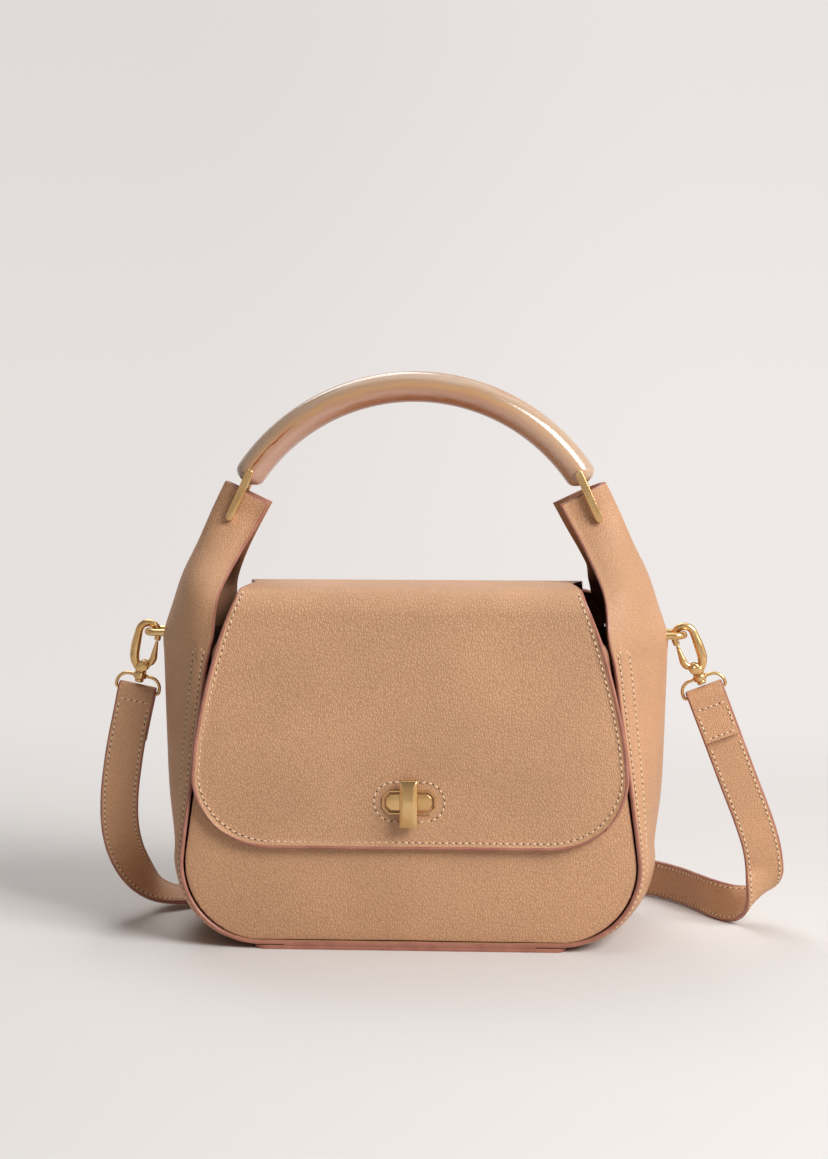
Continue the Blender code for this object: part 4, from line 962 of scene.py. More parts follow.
def flap_curl(x, z, half):
    """Forward curl of the flap's border: full at the edge, and falling with the square of the distance."""
    corner_x, drop = FLAP_WIDE_HALF - FLAP_CORNER_X, FLAP_WIDE_Z - FLAP_BOTTOM_Z
    reach = np.hypot((np.abs(x) - corner_x) / FLAP_CORNER_X, (FLAP_WIDE_Z - z) / drop)
    corner = 0.5 * (FLAP_CORNER_X + drop) * (1.0 - reach)
    low = np.where(np.abs(x) < corner_x, z - FLAP_BOTTOM_Z, corner)
    away = np.where(z > FLAP_WIDE_Z, half - np.abs(x), low)
    border = np.clip(1.0 - away / FLAP_CURL_REACH, 0.0, 1.0)
    return FLAP_CURL * border**2 * (1.0 - soft_step(z, 160.0, 182.0))


def flap_grid():
    """Outer surface of the flap, width by profile, with columns close together near both sides."""
    y, z, half = flap_profile().T[:, :, None]
    edge = np.array([0.0, 1.4, 2.2, 3.1, 4.2])
    inner = (half - 5.6) * np.linspace(1.0, -1.0, 96)
    x = np.concatenate([half - edge, inner, edge[::-1] - half], axis=1)
    lower = flap_lower(x[-1] / half[-1])
    y = np.concatenate([y + 0.0 * x, np.full(lower.shape[:2], FLAP_FACE_Y)])
    z = np.concatenate([z + 0.0 * x, lower[..., 1]])
    x = np.concatenate([x, lower[..., 0]])
    half = np.concatenate([half, np.full((len(lower), 1), FLAP_WIDE_HALF)])
    return grid(x, y - flap_swell(x, z, half) - flap_curl(x, z, half), z)


def cut_through(made, shell, finish):
    """Cut a shell out of a piece; the walls of the cut take the finish."""
    tool = piece("cutter", [shell], [finish], "bag")
    step = made.modifiers.new("opening", "BOOLEAN")
    step.operation = "DIFFERENCE"
    step.solver = "EXACT"
    step.material_mode = "TRANSFER"
    step.object = tool
    bpy.context.view_layer.update()
    graph = bpy.context.evaluated_depsgraph_get()
    mesh = bpy.data.meshes.new_from_object(made.evaluated_get(graph))
    made.modifiers.clear()
    made.data = mesh
    bpy.data.objects.remove(tool)


def octagon(size, chamfer):
    """Rectangle with cut corners round the lock's centre, as a function of an inset."""

    def at(inset):
        """Outline drawn in by the inset."""
        half_x, half_z = size[0] / 2.0 - inset, size[1] / 2.0 - inset
        cut = chamfer - inset * (2.0 - sqrt(2.0))
        upper = [(half_x, half_z - cut), (half_x - cut, half_z)]
        right = [(x, -z) for x, z in reversed(upper)] + upper
        return [(x, LOCK_Z + z) for x, z in right] + [(-x, LOCK_Z + z) for x, z in reversed(right)]

    return at


def flap():
    """Flap from the middle of the top over the bend to its round lower corners, cut for the lock's rim."""
    shell = sheet(flap_grid(), eased=(False, True, True, True), ease=ROUND_EASE, painted=3)
    made = piece("flap_leather", [shell], [FLAP_LEATHER, INNER_LEATHER, EDGE_PAINT], None)
    clear = octagon((LOCK_FRAME[0] + 0.5, LOCK_FRAME[1] + 0.5), LOCK_CHAMFER)
    cut_through(made, slab(clear, FLAP_FACE_Y - 4.0, FLAP_FACE_Y + 5.0, ease=0.01), EDGE_PAINT)
    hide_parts("flap_front")
    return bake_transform(made)


# Gussets


def gusset_stations():
    """Stations up the gusset: edge x and z, fold x and z, half spread, and roundness of the section."""
    straight = (HALF_DEPTH, 2.0)
    foot = [(x, GUSSET_FOOT_Z) for x in (GUSSET_FOOT_X, CORNER_X - 4.0)]
    stations = [(*place, *place, *straight) for place in foot]
    centre, radius = (CORNER_X, CORNER_Z), CORNER_R + SEAM_OFFSET
    for angle in np.linspace(-86.0, corner_tangent(), 9):
        swell = SIDE_SWELL * (1.0 - min(1.0, -min(angle, 0.0) / SWELL_START) ** 3)
        edge = around(centre, radius, radians(angle))
        fold = around(centre, radius + swell, radians(angle))
        stations.append((*edge, *fold, *straight))
    for fold_x, fold_z in SIDE_FOLD:
        edge_x = float(panel_sides(fold_z)) + SEAM_OFFSET
        stations.append((edge_x, fold_z, fold_x, fold_z, *straight))
    for edge, fold, spread, power in zip(WING_EDGE, WING_FOLD, WING_SPREAD, WING_POWER):
        stations.append((*edge, *fold, spread, power))
    return stations


def gusset_surface(rows, across, side):
    """Right gusset's outer surface, from the front edge to the back one.

    With v running from -1 to 1, the share u is (1 - w) v + w sin(v pi / 2), w growing from 0.5 on the side
    to 1 on the flat wing. Depth is the half spread times u, and the place moves from the edge to the
    fold by (1 - u^2) to half the station's power. The wing's rear half leans in by its lean times u.
    """
    stations = smooth_through(gusset_stations(), rows, space=2)
    edge_x, edge_z, fold_x, fold_z, spread, power = stations.T[:, :, None]
    v = np.concatenate([[-1.0], np.linspace(-0.95, 0.95, across - 2), [1.0]])[None, :]
    bunch = np.clip(1.5 - power / 2.0, 0.5, 1.0)
    share = (1.0 - bunch) * v + bunch * np.sin(pi * v / 2.0)
    reach = np.clip(1.0 - share**2, 0.0, 1.0) ** (power / 2.0)
    x = edge_x + (fold_x - edge_x) * reach
    z = edge_z + (fold_z - edge_z) * reach
    lean = soft_step(edge_z, 160.0, 184.0) * (1.0 - 0.45 * soft_step(edge_z, 187.0, 200.0))
    x = x - WING_LEAN[side] * np.clip(share, 0.0, 1.0) * lean
    return grid(x, spread * share, z)


def from_edges(surface):
    """Distance along the surface from the front edge, and from the back edge."""
    step = np.linalg.norm(np.diff(surface, axis=1), axis=2)
    front = np.concatenate([np.zeros((len(surface), 1)), np.cumsum(step, axis=1)], axis=1)
    return front, front[:, -1:] - front


def gusset_relief(surface):
    """Outer surface with a furrow under each stitch row, a soft puff between the rows and flared wing edges.

    The furrows and the puff fade out above the rows' end. On the wing the strip before each edge flares
    out by the square of its share, which shows the painted edge from the front.
    """
    front, back = from_edges(surface)
    away = np.minimum(front, back)
    inner, outer = SEAM_STITCH_IN
    furrow = sum(np.exp(-(((away - row) / FURROW_WIDTH) ** 2)) for row in SEAM_STITCH_IN)
    middle = (inner + outer) / 2.0
    puff = np.clip(1.0 - ((away - middle) / (outer - middle)) ** 2, 0.0, 1.0)
    height = surface[..., 2]
    low = 1.0 - soft_step(height, SEAM_STITCH_TOP_Z - 1.0, SEAM_STITCH_TOP_Z + 3.0)
    raised = (PUFF_RISE * puff - FURROW_DEPTH * furrow) * low
    forward, backward = (np.clip(1.0 - far / WING_FLARE_REACH, 0.0, 1.0) ** 2 for far in (front, back))
    flare = WING_FLARE * (backward - forward)
    out = grid_normals(surface) * raised[..., None]
    out[..., 1] += flare * soft_step(height, SEAM_STITCH_TOP_Z, SEAM_STITCH_TOP_Z + 12.0)
    return surface + out


def stadium(start, end, half_width, steps=10):
    """Outline in XZ of a bar or slot with round ends between two points, as a function of an inset."""
    start, end = np.asarray(start, float), np.asarray(end, float)
    direction = unit(end - start)
    across = np.array([-direction[1], direction[0]])
    t = np.linspace(0.0, pi, steps + 1)[:, None]
    turn = direction * np.sin(t) - across * np.cos(t)

    def at(inset):
        """Outline drawn in by the inset."""
        radius = half_width - inset
        return np.concatenate([end + turn * radius, start - turn * radius])

    return at


def gusset(side, name):
    """One gusset with its wing, in leather with painted edges, slotted for the link."""
    surface = gusset_relief(gusset_surface(*GUSSET_GRID, side)) * np.array([side, 1.0, 1.0])
    shell = sheet(surface, eased=(False, True, True, True), ease=ROUND_EASE, flip=side < 0)
    made = piece(f"{name}_gusset_leather", [shell], [SMOOTH_LEATHER, INNER_LEATHER, EDGE_PAINT], "bag")
    foot = np.array(LINK_FOOT)
    lean = unit(np.array(LINK_TOP) - foot)
    outline = stadium(foot - lean * SLOT_PAST[0], foot + lean * SLOT_PAST[1], SLOT_HALF + 0.4)
    slot = slab(outline, -HALF_DEPTH, HALF_DEPTH, ease=0.01)
    cut_through(made, moved(slot, mirrored(side)), EDGE_PAINT)
    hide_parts(f"{name}_gusset")
    return made


# Stitching


def copies(shape, centres, along, across, up):
    """Points of a small shape at each centre, with its X along, its Y across and its Z up."""
    x, y, z = shape.T[:, None, :, None]
    points = centres[:, None] + x * along[:, None] + y * across[:, None] + z * up[:, None]
    return points.reshape(-1, 3)


def repeated(faces, step, count):
    """Faces of one small shape repeated for each copy, whose point numbers go up by a step."""
    offsets = (np.arange(count) * step)[:, None, None]
    return (np.asarray(faces)[None] + offsets).reshape(-1, len(faces[0])).tolist()


def stitch_shell(centres, along, up):
    """Stitches as short beads: five rings of six points each, closed by a point at both ends.

    A point of ring s lies at s L/2 along + r(s) (cos t across + sin t up) + lift(s) up from the centre, so
    that the ends sink in. Each stitch is slanted out of its row.
    """
    end = STITCH_LENGTH / 2.0
    s = np.array([-0.86, -0.5, 0.0, 0.5, 0.86])[:, None]
    width = np.array([0.62, 0.95, 1.0, 0.95, 0.62])[:, None] * STITCH_R
    lift = np.array([-0.2, 0.02, 0.1, 0.02, -0.2])[:, None] * STITCH_R * 2
    t = np.linspace(0.0, 2 * pi, 6, endpoint=False)
    rings = grid(s * end, width * np.cos(t), width * np.sin(t) + lift).reshape(-1, 3)
    bead = np.concatenate([rings, [[-end, 0.0, -0.25], [end, 0.0, -0.25]]])
    sides = quads(5, 6, wrap=True)[:, ::-1]
    tips = [[k, (k + 1) % 6, 30] for k in range(6)] + [[24 + (k + 1) % 6, 24 + k, 31] for k in range(6)]
    across = unit(np.cross(up, along))
    up = np.cross(along, across)
    slant = radians(STITCH_SLANT)
    along, across = along * cos(slant) + across * sin(slant), across * cos(slant) - along * sin(slant)
    points = copies(bead, centres, along, across, up)
    faces = repeated(sides, len(bead), len(centres)) + repeated(tips, len(bead), len(centres))
    return points, faces, np.zeros(len(faces))


def awl_shell(centres, along, up):
    """Awl holes between stitches, each a low six-sided dot coloured dark as painted shade in the hole."""
    t = np.linspace(0.0, 2 * pi, 6, endpoint=False)
    dot = np.stack([AWL_R[0] * np.cos(t), AWL_R[1] * np.sin(t), np.full(6, 0.03)], axis=1)
    shape = np.concatenate([dot, dot - np.array([0.0, 0.0, 0.3])])
    caps = [[0, 1, 2, 3, 4, 5], [11, 10, 9, 8, 7, 6]]
    sides = [[k, k + 6, (k + 1) % 6 + 6, (k + 1) % 6] for k in range(6)]
    points = copies(shape, centres, along, unit(np.cross(up, along)), up)
    faces = repeated(caps, len(shape), len(centres)) + repeated(sides, len(shape), len(centres))
    return points, faces, np.ones(len(faces))


def stitched(name, lines, body, pitch=STITCH_PITCH):
    """Rows of stitches along lines of points with their surface normals, as one object."""
    shells = []
    near = 0.3
    for path, up in lines:
        run = run_length(path)
        count = max(2, int(round(run[-1] / pitch)))
        at = (np.arange(count) + 0.5) * run[-1] / count
        along = unit(read_at(path, run, at + near) - read_at(path, run, at - near))
        shells.append(stitch_shell(read_at(path, run, at), along, unit(read_at(up, run, at))))
        at = np.arange(1, count) * run[-1] / count
        spot = read_at(path, run, at)
        along = unit(read_at(path, run, at + near) - spot)
        shells.append(awl_shell(spot, along, unit(read_at(up, run, at))))
    return piece(name, shells, [THREAD, AWL_HOLE_SHADE], body, sharp=70.0)


def gusset_stitching(side, name):
    """Two rows beside each gusset's front and back edges, closed by a short row at the top."""
    surface = gusset_surface(300, 481, side)
    normal = grid_normals(surface)
    every = np.arange(len(surface))
    flip = np.array([side, 1.0, 1.0])
    lines = []
    for away in from_edges(surface):
        tops = []
        for distance in SEAM_STITCH_IN:
            index = np.argmin(np.abs(away - distance), axis=1)
            path, up = surface[every, index], normal[every, index]
            keep = (path[:, 2] < SEAM_STITCH_TOP_Z) & (path[:, 0] > GUSSET_FOOT_X + 14.0)
            path, up = path[keep] - up[keep] * 0.1, up[keep]
            tops.append((path[-1], up[-1]))
            lines.append((path * flip, up * flip))
        path, up = np.linspace(*tops, 8).transpose(1, 0, 2)
        lines.append(((path + up * 0.35) * flip, up * flip))
    return stitched(f"{name}_gusset_stitching", lines, "bag", SEAM_PITCH)


def flap_stitching():
    """One row round the flap's front, just inside its sides and bottom."""
    inset = FLAP_STITCH_IN
    profile = flap_profile()
    profile = profile[profile[:, 0] < FLAP_FACE_Y + 0.62 * FLAP_BEND]
    bottom_z = FLAP_BOTTOM_Z + inset
    centre = (FLAP_WIDE_HALF - FLAP_CORNER_X + inset, FLAP_WIDE_Z)
    corner = arc_points(centre, (FLAP_CORNER_X - inset, FLAP_WIDE_Z - bottom_z), 0.0, -90.0, 50)[1:]
    below = np.concatenate([corner, np.linspace((centre[0], bottom_z), (inset, bottom_z), 41)[1:]])
    below = np.column_stack([np.full(len(below), FLAP_FACE_Y), below[:, ::-1]])
    y, z, half = np.concatenate([profile, below]).T
    slope = unit(np.gradient(np.stack([y, z], axis=1), axis=0))
    slope[len(profile):] = (0.0, -1.0)
    x = half - inset
    half = np.where(z > FLAP_WIDE_Z, half, FLAP_WIDE_HALF)
    y = y - flap_swell(x, z, half) - flap_curl(x, z, half)
    up = np.stack([0.0 * x, slope[:, 1], -slope[:, 0]], axis=1)
    path = np.stack([x, y, z], axis=1) + 0.05 * up
    path = np.concatenate([path, (path * np.array([-1.0, 1.0, 1.0]))[-2::-1]])
    return stitched("flap_edge_stitching", [(path, np.concatenate([up, up[-2::-1]]))], "flap_front")


def lock_stitching():
    """Oval row round the turn lock: two straight runs and two half circles."""
    half_x, half_z = LOCK_STITCH[0] / 2.0, LOCK_STITCH[1] / 2.0
    right = arc_points((half_x - half_z, 0.0), half_z, -90.0, 90.0, 30)
    x, z = np.concatenate([right, -right, right[:1]]).T
    path = np.stack([x, np.full(len(x), FLAP_FACE_Y - 0.02), LOCK_Z + z], axis=1)
    up = np.tile([0.0, -1.0, 0.0], (len(path), 1))
    return stitched("lock_stitching", [(path, up)], "flap_front")


# Base and inside


def rounded_rectangle(half_x, half_y, corner):
    """Rectangle with round corners: stations along X and the half depth at each."""
    t = np.radians(np.linspace(84.0, 0.0, 8))
    x = half_x - corner + corner * np.cos(t)
    y = half_y - corner + corner * np.sin(t)
    inner = np.linspace(corner - half_x, half_x - corner, 30)[1:-1]
    return np.concatenate([-x[::-1], inner, x]), np.concatenate([y[::-1], np.full(28, half_y), y])


def base_leather():
    """Base strip under the bag, and the thicker middle between the gussets' feet."""
    x, y = rounded_rectangle(BASE_HALF, HALF_DEPTH, BASE_CORNER)
    share = np.linspace(-1.0, 1.0, 30)
    eased, ease = (False, False, True, True), 0.15
    lower = sheet(grid(x[:, None], y[:, None] * share, 0.0), BASE_STRIP, eased, ease)
    seat = BASE_STRIP + 0.05
    middle = grid(np.linspace(-GUSSET_FOOT_X, GUSSET_FOOT_X, 60)[:, None], HALF_DEPTH * share, seat)
    upper = sheet(middle, GUSSET_FOOT_Z + LEATHER - seat, eased, ease)
    finishes = [SMOOTH_LEATHER, INNER_LEATHER, EDGE_PAINT]
    return piece("base_leather", [lower, upper], finishes, "bag", ["base_panel"])


def lining_cloth_bag():
    """Open-topped cloth lining: rings with straight front and back and swollen ends, closed by its floor."""
    fold = np.array(gusset_stations())[1:-3, 2:4]
    turn = [8.5, 11.0, 16.0, 24.0, 36.0]
    z = np.concatenate([np.full(7, LINING_FLOOR), turn, np.linspace(50.0, LINING_TOP, 20)])
    shrink = np.concatenate([np.linspace(0.03, 1.0, 7), np.ones(25)])[:, None]
    half = panel_sides(z, LINING_INSET)
    end = np.interp(z, fold[:, 1], fold[:, 0]) - LEATHER - LINING_SIDE_GAP
    swell = np.maximum(1.0, end - half)[:, None]
    half, z = half[:, None], z[:, None]
    depth = np.linspace(-1.0, 1.0, 22)
    right_x = half + swell * (1.0 - depth**2)
    back_x = half * np.linspace(1.0, -1.0, 32)[1:-1]
    x = np.concatenate([right_x, back_x, -right_x, -back_x], axis=1)
    y = np.concatenate([depth, np.ones(30), -depth, -np.ones(30)]) * LINING_FACE
    outer = grid(x * shrink, y * shrink, z)
    shell = sheet(outer, LINING_SKIN, eased=(False, True, True, True), ease=0.25, wrap=True)
    return piece("lining_cloth", [shell], [LINING] * 3, "bag", ["lining"])


def slip_pocket_cloth():
    """Slip pocket on the lining's back wall: a flat cloth patch with a turned hem along its mouth."""
    low, high = (np.array(corner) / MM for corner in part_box("slip_pocket"))
    x = np.linspace(high[0], low[0], 40)
    z = np.linspace(low[2], high[2], 30)[:, None]
    hem = 0.35 * soft_step(z, high[2] - 9.0, high[2] - 8.4)
    shell = sheet(grid(x, low[1] - hem + 0.35, z), high[1] - low[1], ease=0.2, flip=True)
    return piece("slip_pocket_cloth", [shell], [LINING] * 3, "bag", ["slip_pocket"])


# Fittings


def clip_place(side):
    """Transform from a clip's own frame to the world, hung on its loop and tilted outwards."""
    turn = Matrix.Rotation(radians(-CLIP_TILT[side]), 4, "Y")
    hung = turn @ Matrix.Translation((0.0, 0.0, -CLIP_HANG))
    return mirrored(side) @ Matrix.Translation((LOOP_BAR_X, 0.0, LOOP_Z)) @ hung


def in_clip(points):
    """Points of the clip's plane as space points in its own frame."""
    points = np.asarray(points, float)
    return np.stack([points[:, 0], 0.0 * points[:, 0], points[:, 1]], axis=1)


def clip_hook(side, name):
    """Snap hook: bar and neck, two cheeks for the gate's pin, and the swivel post with its head.

    The bar is flattened and swells down its outer side.
    """
    foot = [(0.3, 1.6), (1.9, 2.6), (3.9, 5.2), (5.1, 8.6), (5.45, 13.0), (5.45, 17.5)]
    upper = arc_points((0.0, CLIP_HEIGHT - CLIP_HALF_WIDTH), CLIP_HALF_WIDTH, 0.0, 180.0, 28)
    tip = [(-CLIP_HALF_WIDTH, HOOK_TIP_Z + 1.0), (-CLIP_HALF_WIDTH, HOOK_TIP_Z)]
    path = smooth_through(np.concatenate([foot, upper, tip]), 90, space=2)
    run = run_length(path) / run_length(path)[-1]
    widths = [2.0, 2.2, 2.6, 2.6, 2.15, 2.0, 1.85, 1.75]
    swell = np.interp(run, [0.0, 0.08, 0.2, 0.36, 0.5, 0.62, 0.85, 1.0], widths)
    hook = bar(in_clip(path), swell, DEPTH_WAY, sides=28, dome=0.4, flat=0.86)
    cheek = [(0.05, 1.75), (2.7, 1.75), (2.95, 1.9), (3.05, 2.3)]
    cheek += [(3.05, 2.9), (2.8, 3.3), (2.3, 3.55), (0.05, 3.65)]
    seat = (-1.0, 0.0, CLIP_BOSS_Z - 0.3)
    cheeks = [turned(cheek, seat, (0.0, way, 0.0)) for way in (1.0, -1.0)]
    bulge = [(2.9, 1.7), (2.4, 2.6), (1.4, 3.2), (0.05, 3.3)]
    bulge = both_ways(bulge)[:4] + [(3.1, 0.0)] + bulge
    saddle = turned(bulge, (0.5, 0.0, 2.7), DEPTH_WAY)
    top, low = POST_HEAD_Z
    head = [(0.05, low), (1.9, low), (2.3, low + 0.3), (2.5, low + 0.8), (2.5, top - 0.4), (2.3, top)]
    neck = [(1.7, top), (1.7, 0.25), (3.0, 0.35), (3.2, 0.7), (2.9, 1.2), (2.3, 1.8), (2.2, 2.6), (0.05, 3.2)]
    post = turned(head + neck, (0.0, 0.0, 0.0), UP)
    shells = [moved(shell, clip_place(side)) for shell in (hook, *cheeks, saddle, post)]
    return gold_piece(f"{name}_snap_hook", shells, f"{name}_hook", f"{name}_clip_hook")


def clip_gate(side, name):
    """Gate from the pin up to the hook's tip: a flattened lever, broad low down and narrow at its end."""
    pivot_x, pivot_z = GATE_PIVOT
    lower = arc_points((0.0, CLIP_BOSS_Z + CLIP_HALF_WIDTH), CLIP_HALF_WIDTH, 215.0, 180.0, 8)
    upper = np.linspace(lower[-1], (-CLIP_HALF_WIDTH, HOOK_TIP_Z - 1.3), 10)[1:]
    path = smooth_through(np.concatenate([[(pivot_x - 0.3, pivot_z)], lower, upper]), 40, space=2)
    widths = [1.5, 1.95, 1.9, 1.45, 1.05, 0.9]
    radius = np.interp(np.linspace(0.0, 1.0, 40), [0.0, 0.2, 0.45, 0.7, 0.9, 1.0], widths)
    gate = bar(in_clip(path), radius, DEPTH_WAY, sides=22, dome=0.5, flat=0.8)
    eye = turned(both_ways([(2.1, 1.2), (1.8, 1.55), (0.05, 1.55)]), (pivot_x, 0.0, pivot_z), DEPTH_WAY)
    shells = [moved(shell, clip_place(side)) for shell in (gate, eye)]
    return gold_piece(f"{name}_snap_gate", shells, f"{name}_gate", f"{name}_clip_gate")


def clip_pin(side, name):
    """Riveted pin of the gate with low domed ends."""
    rivet = both_ways([(0.8, 3.5), (1.3, 3.6), (1.25, 3.85), (0.8, 4.15), (0.05, 4.25)])
    shell = moved(turned(rivet, (GATE_PIVOT[0], 0.0, GATE_PIVOT[1]), DEPTH_WAY, sides=20), clip_place(side))
    return gold_piece(f"{name}_snap_pin", [shell], f"{name}_hook", f"{name}_clip_pin")


def clip_ring(side, name):
    """D-ring with round shoulders for the strap, and the collar that the hook's post turns in."""
    low = arc_points((DRING_HALF - DRING_CORNER, DRING_BAR_Z + DRING_CORNER), DRING_CORNER, -90.0, 0.0, 8)
    shoulder = (DRING_HALF - DRING_SHOULDER, DRING_TOP_Z - DRING_SHOULDER)
    right = np.concatenate([low, arc_points(shoulder, DRING_SHOULDER, 0.0, 90.0, 18)])
    ring = np.concatenate([right, right[::-1] * np.array([-1.0, 1.0])])
    bore, edge, rim = 2.1, COLLAR_R - 0.1, COLLAR_R - 0.5
    lower = [(bore, -COLLAR_HEIGHT), (rim, -COLLAR_HEIGHT), (edge, -2.8), (COLLAR_R, -2.2)]
    upper = [(COLLAR_R, -1.0), (edge, -0.4), (rim, 0.0), (bore, 0.0)]
    wire = bar(in_clip(ring), DRING_WIRE, DEPTH_WAY, closed=True)
    collar = turned(lower + upper, (0.0, 0.0, 0.0), UP)
    shells = [moved(shell, clip_place(side)) for shell in (wire, collar)]
    return gold_piece(f"{name}_strap_ring", shells, "bag", f"{name}_clip_ring")


def side_loop(side, name):
    """Staple through the gusset with its bar along the depth, rounded at both turns."""
    centre = (LOOP_BAR_X - LOOP_TURN, LOOP_TURN - LOOP_HALF_WIDTH)
    corner = arc_points(centre, LOOP_TURN, -90.0, 0.0, 10)
    half = np.concatenate([np.linspace((LOOP_START_X, -LOOP_HALF_WIDTH), corner[0], 8)[:-1], corner])
    x, y = np.concatenate([half, half[::-1] * np.array([1.0, -1.0])]).T
    path = np.stack([side * x, y, np.full(len(x), LOOP_Z)], axis=1)
    shell = bar(path, LOOP_WIRE, UP, sides=22, dome=0.2)
    return gold_piece(f"{name}_loop_bar", [shell], "bag", f"{name}_side_loop")


def handle_link(side, name):
    """Flat link bars with eased edges before and behind the handle, joined by their two pins."""
    outline = stadium(LINK_FOOT, LINK_TOP, LINK_BAR[0] / 2.0, steps=14)
    outer = LINK_INNER + LINK_BAR[1]
    shells = [slab(outline, -outer, -LINK_INNER, LINK_EASE), slab(outline, LINK_INNER, outer, LINK_EASE)]
    rod = both_ways([(LINK_PIN_R, LINK_INNER + 0.5), (0.05, LINK_INNER + 0.5)])
    shells += [turned(rod, (x, 0.0, z), DEPTH_WAY, sides=24) for x, z in (LINK_FOOT, LINK_TOP)]
    shells = [moved(shell, mirrored(side)) for shell in shells]
    return gold_piece(f"{name}_link_bars", shells, f"{name}_link", f"{name}_handle_link", sharp=50.0)


def resin_handle():
    """Round bar on an arc with domed ends; its map holds the place along and round the bar."""
    centre_z = LINK_TOP[1] - sqrt(HANDLE_ARC_R**2 - LINK_TOP[0] ** 2)
    limit = 90.0 - degrees(acos(LINK_TOP[0] / HANDLE_ARC_R)) + degrees(HANDLE_END_PAST / HANDLE_ARC_R)
    cap = degrees(HANDLE_CAP / HANDLE_ARC_R)
    ends = np.sort(limit - cap * (1.0 - np.sin(np.linspace(0.08, 1.0, 9) * pi / 2.0)))
    inward = np.linspace(limit - cap, 0.0, 60)[1:-1]
    angle = np.concatenate([-ends[::-1], -inward, [0.0], inward[::-1], ends])
    depth_in = np.clip(1.0 - (limit - np.abs(angle)) / cap, 0.0, 1.0)
    radius = HANDLE_R * np.maximum(0.02, np.sqrt(1.0 - np.minimum(depth_in, 0.9995) ** 2))
    a = np.radians(angle)
    out = np.stack([np.sin(a), 0.0 * a, np.cos(a)], axis=1)
    path = HANDLE_ARC_R * out + np.array([0.0, 0.0, centre_z])
    sides = 48
    t = np.linspace(-pi / 2.0, 1.5 * pi, sides, endpoint=False)
    ring = np.sin(t)[:, None] * out[:, None] - np.cos(t)[:, None] * np.array(DEPTH_WAY)
    points = path[:, None] + radius[:, None, None] * ring
    faces = tube_faces(len(path), sides)
    shell = (points.reshape(-1, 3), faces, np.zeros(len(faces)))
    made = piece("resin_handle", [shell], [RESIN], "handle", ["handle"])
    along = np.repeat(a * HANDLE_ARC_R / (2 * HANDLE_R), sides)
    around_it = np.tile((np.sin(t) + 1.0) / 2.0, len(path))
    loops = np.zeros(len(made.data.loops), np.int32)
    made.data.loops.foreach_get("vertex_index", loops)
    layer = made.data.uv_layers.new(name="UVMap")
    layer.data.foreach_set("uv", np.stack([along, around_it], axis=1)[loops].ravel().astype(np.float32))
    return made


def toggle_outline(inset):
    """Turning bar's outline in XZ, drawn in more at its top and bottom than at its sides."""
    half_x, half_z = TOGGLE[0] / 2.0 - inset, TOGGLE[1] / 2.0 - 1.8 * inset
    corners = [(1.0, -1.0), (1.0, 1.0), (-1.0, 1.0), (-1.0, -1.0)]
    return [(half_x * x, LOCK_Z + half_z * z) for x, z in corners]


def lock_rim():
    """Rim of the turn lock, set through the flap."""
    outlines = octagon(LOCK_FRAME, LOCK_CHAMFER), octagon(LOCK_HOLE, LOCK_CHAMFER - 0.6 * LOCK_RIM)
    rim = rim_slab(*outlines, FLAP_FACE_Y - LOCK_PROUD, FLAP_FACE_Y + LEATHER, ease=0.35)
    return gold_piece("lock_rim", [rim], "flap_front", "lock_frame")


def lock_plate():
    """Raised plate that fills the lock's rim, on a seat against the front panel coloured dark as painted
    shade.
    """
    inner = octagon((LOCK_HOLE[0] - 2 * LOCK_GAP, LOCK_HOLE[1] - 2 * LOCK_GAP), LOCK_CHAMFER - LOCK_RIM)
    raised = slab(inner, FLAP_FACE_Y - LOCK_PROUD + 0.4, -PANEL_FACE - 0.8, ease=0.5)
    # The seat takes the dark metal: painted shade in the recess behind the rim.
    seat = slab(octagon(LOCK_PLATE, LOCK_CHAMFER), -PANEL_FACE - 1.3, -PANEL_FACE - 0.3, ease=0.2, mark=1)
    return piece("lock_plate", [raised, seat], [GOLD, RECESS_SHADE_METAL], "bag", ["lock_base"])


def lock_turning_bar():
    """Turning bar on its spindle: four rings, drawn in at the front and back, with softened edges."""
    back = FLAP_FACE_Y - LOCK_PROUD - 0.5
    front = back - TOGGLE[2]
    depths = [front, front + TOGGLE_CHAMFER, back - TOGGLE_CHAMFER, back]
    insets = [TOGGLE_CHAMFER, 0.0, 0.0, TOGGLE_CHAMFER]
    rings = upright_rings([(toggle_outline, inset, y) for inset, y in zip(insets, depths)])
    faces = tube_faces(4, 4)
    toggle = (rings.reshape(-1, 3), faces, np.zeros(len(faces)))
    spindle = turned(both_ways([(2.4, 4.0), (0.05, 4.0)]), (0.0, back + 3.0, LOCK_Z), DEPTH_WAY)
    made = gold_piece("lock_turning_bar", [toggle, spindle], "lock_toggle", "lock_toggle", sharp=30.0)
    soften(made)
    return made


def soften(made):
    """Small rounded highlights on the sharp edges."""
    edge = made.modifiers.new("edge", "BEVEL")
    edge.width = 0.35 * MM
    edge.segments = 3
    edge.limit_method = "ANGLE"
    edge.angle_limit = radians(30.0)
    edge.harden_normals = False


# Strap


def strap_fold(side):
    """Strap's end folded over the ring's bar, its short end behind on the left and in front on the right."""
    place = clip_place(side)
    wrap = DRING_WIRE + STRAP_FACE_GAP + STRAP_THICK / 2.0
    rest = STRAP_THICK / 2.0 + STRAP_FACE_GAP
    shape = [
        (rest, -STRAP_FOLD_LENGTH),
        (rest, -STRAP_FOLD_LENGTH * 0.45),
        (wrap * 0.94, -2.5),
        (wrap * 0.76, wrap * 0.68),
        (0.0, wrap),
        (-wrap * 0.76, wrap * 0.68),
        (-wrap * 0.94, -2.5),
        (-rest, -STRAP_FOLD_LENGTH * 0.45),
        (-rest, -STRAP_FOLD_LENGTH),
    ]
    across = place.to_3x3() @ Vector((side, 0.0, 0.0))
    return [(tuple(place @ Vector((0.0, -side * y, DRING_BAR_Z + z))), tuple(across)) for y, z in shape]


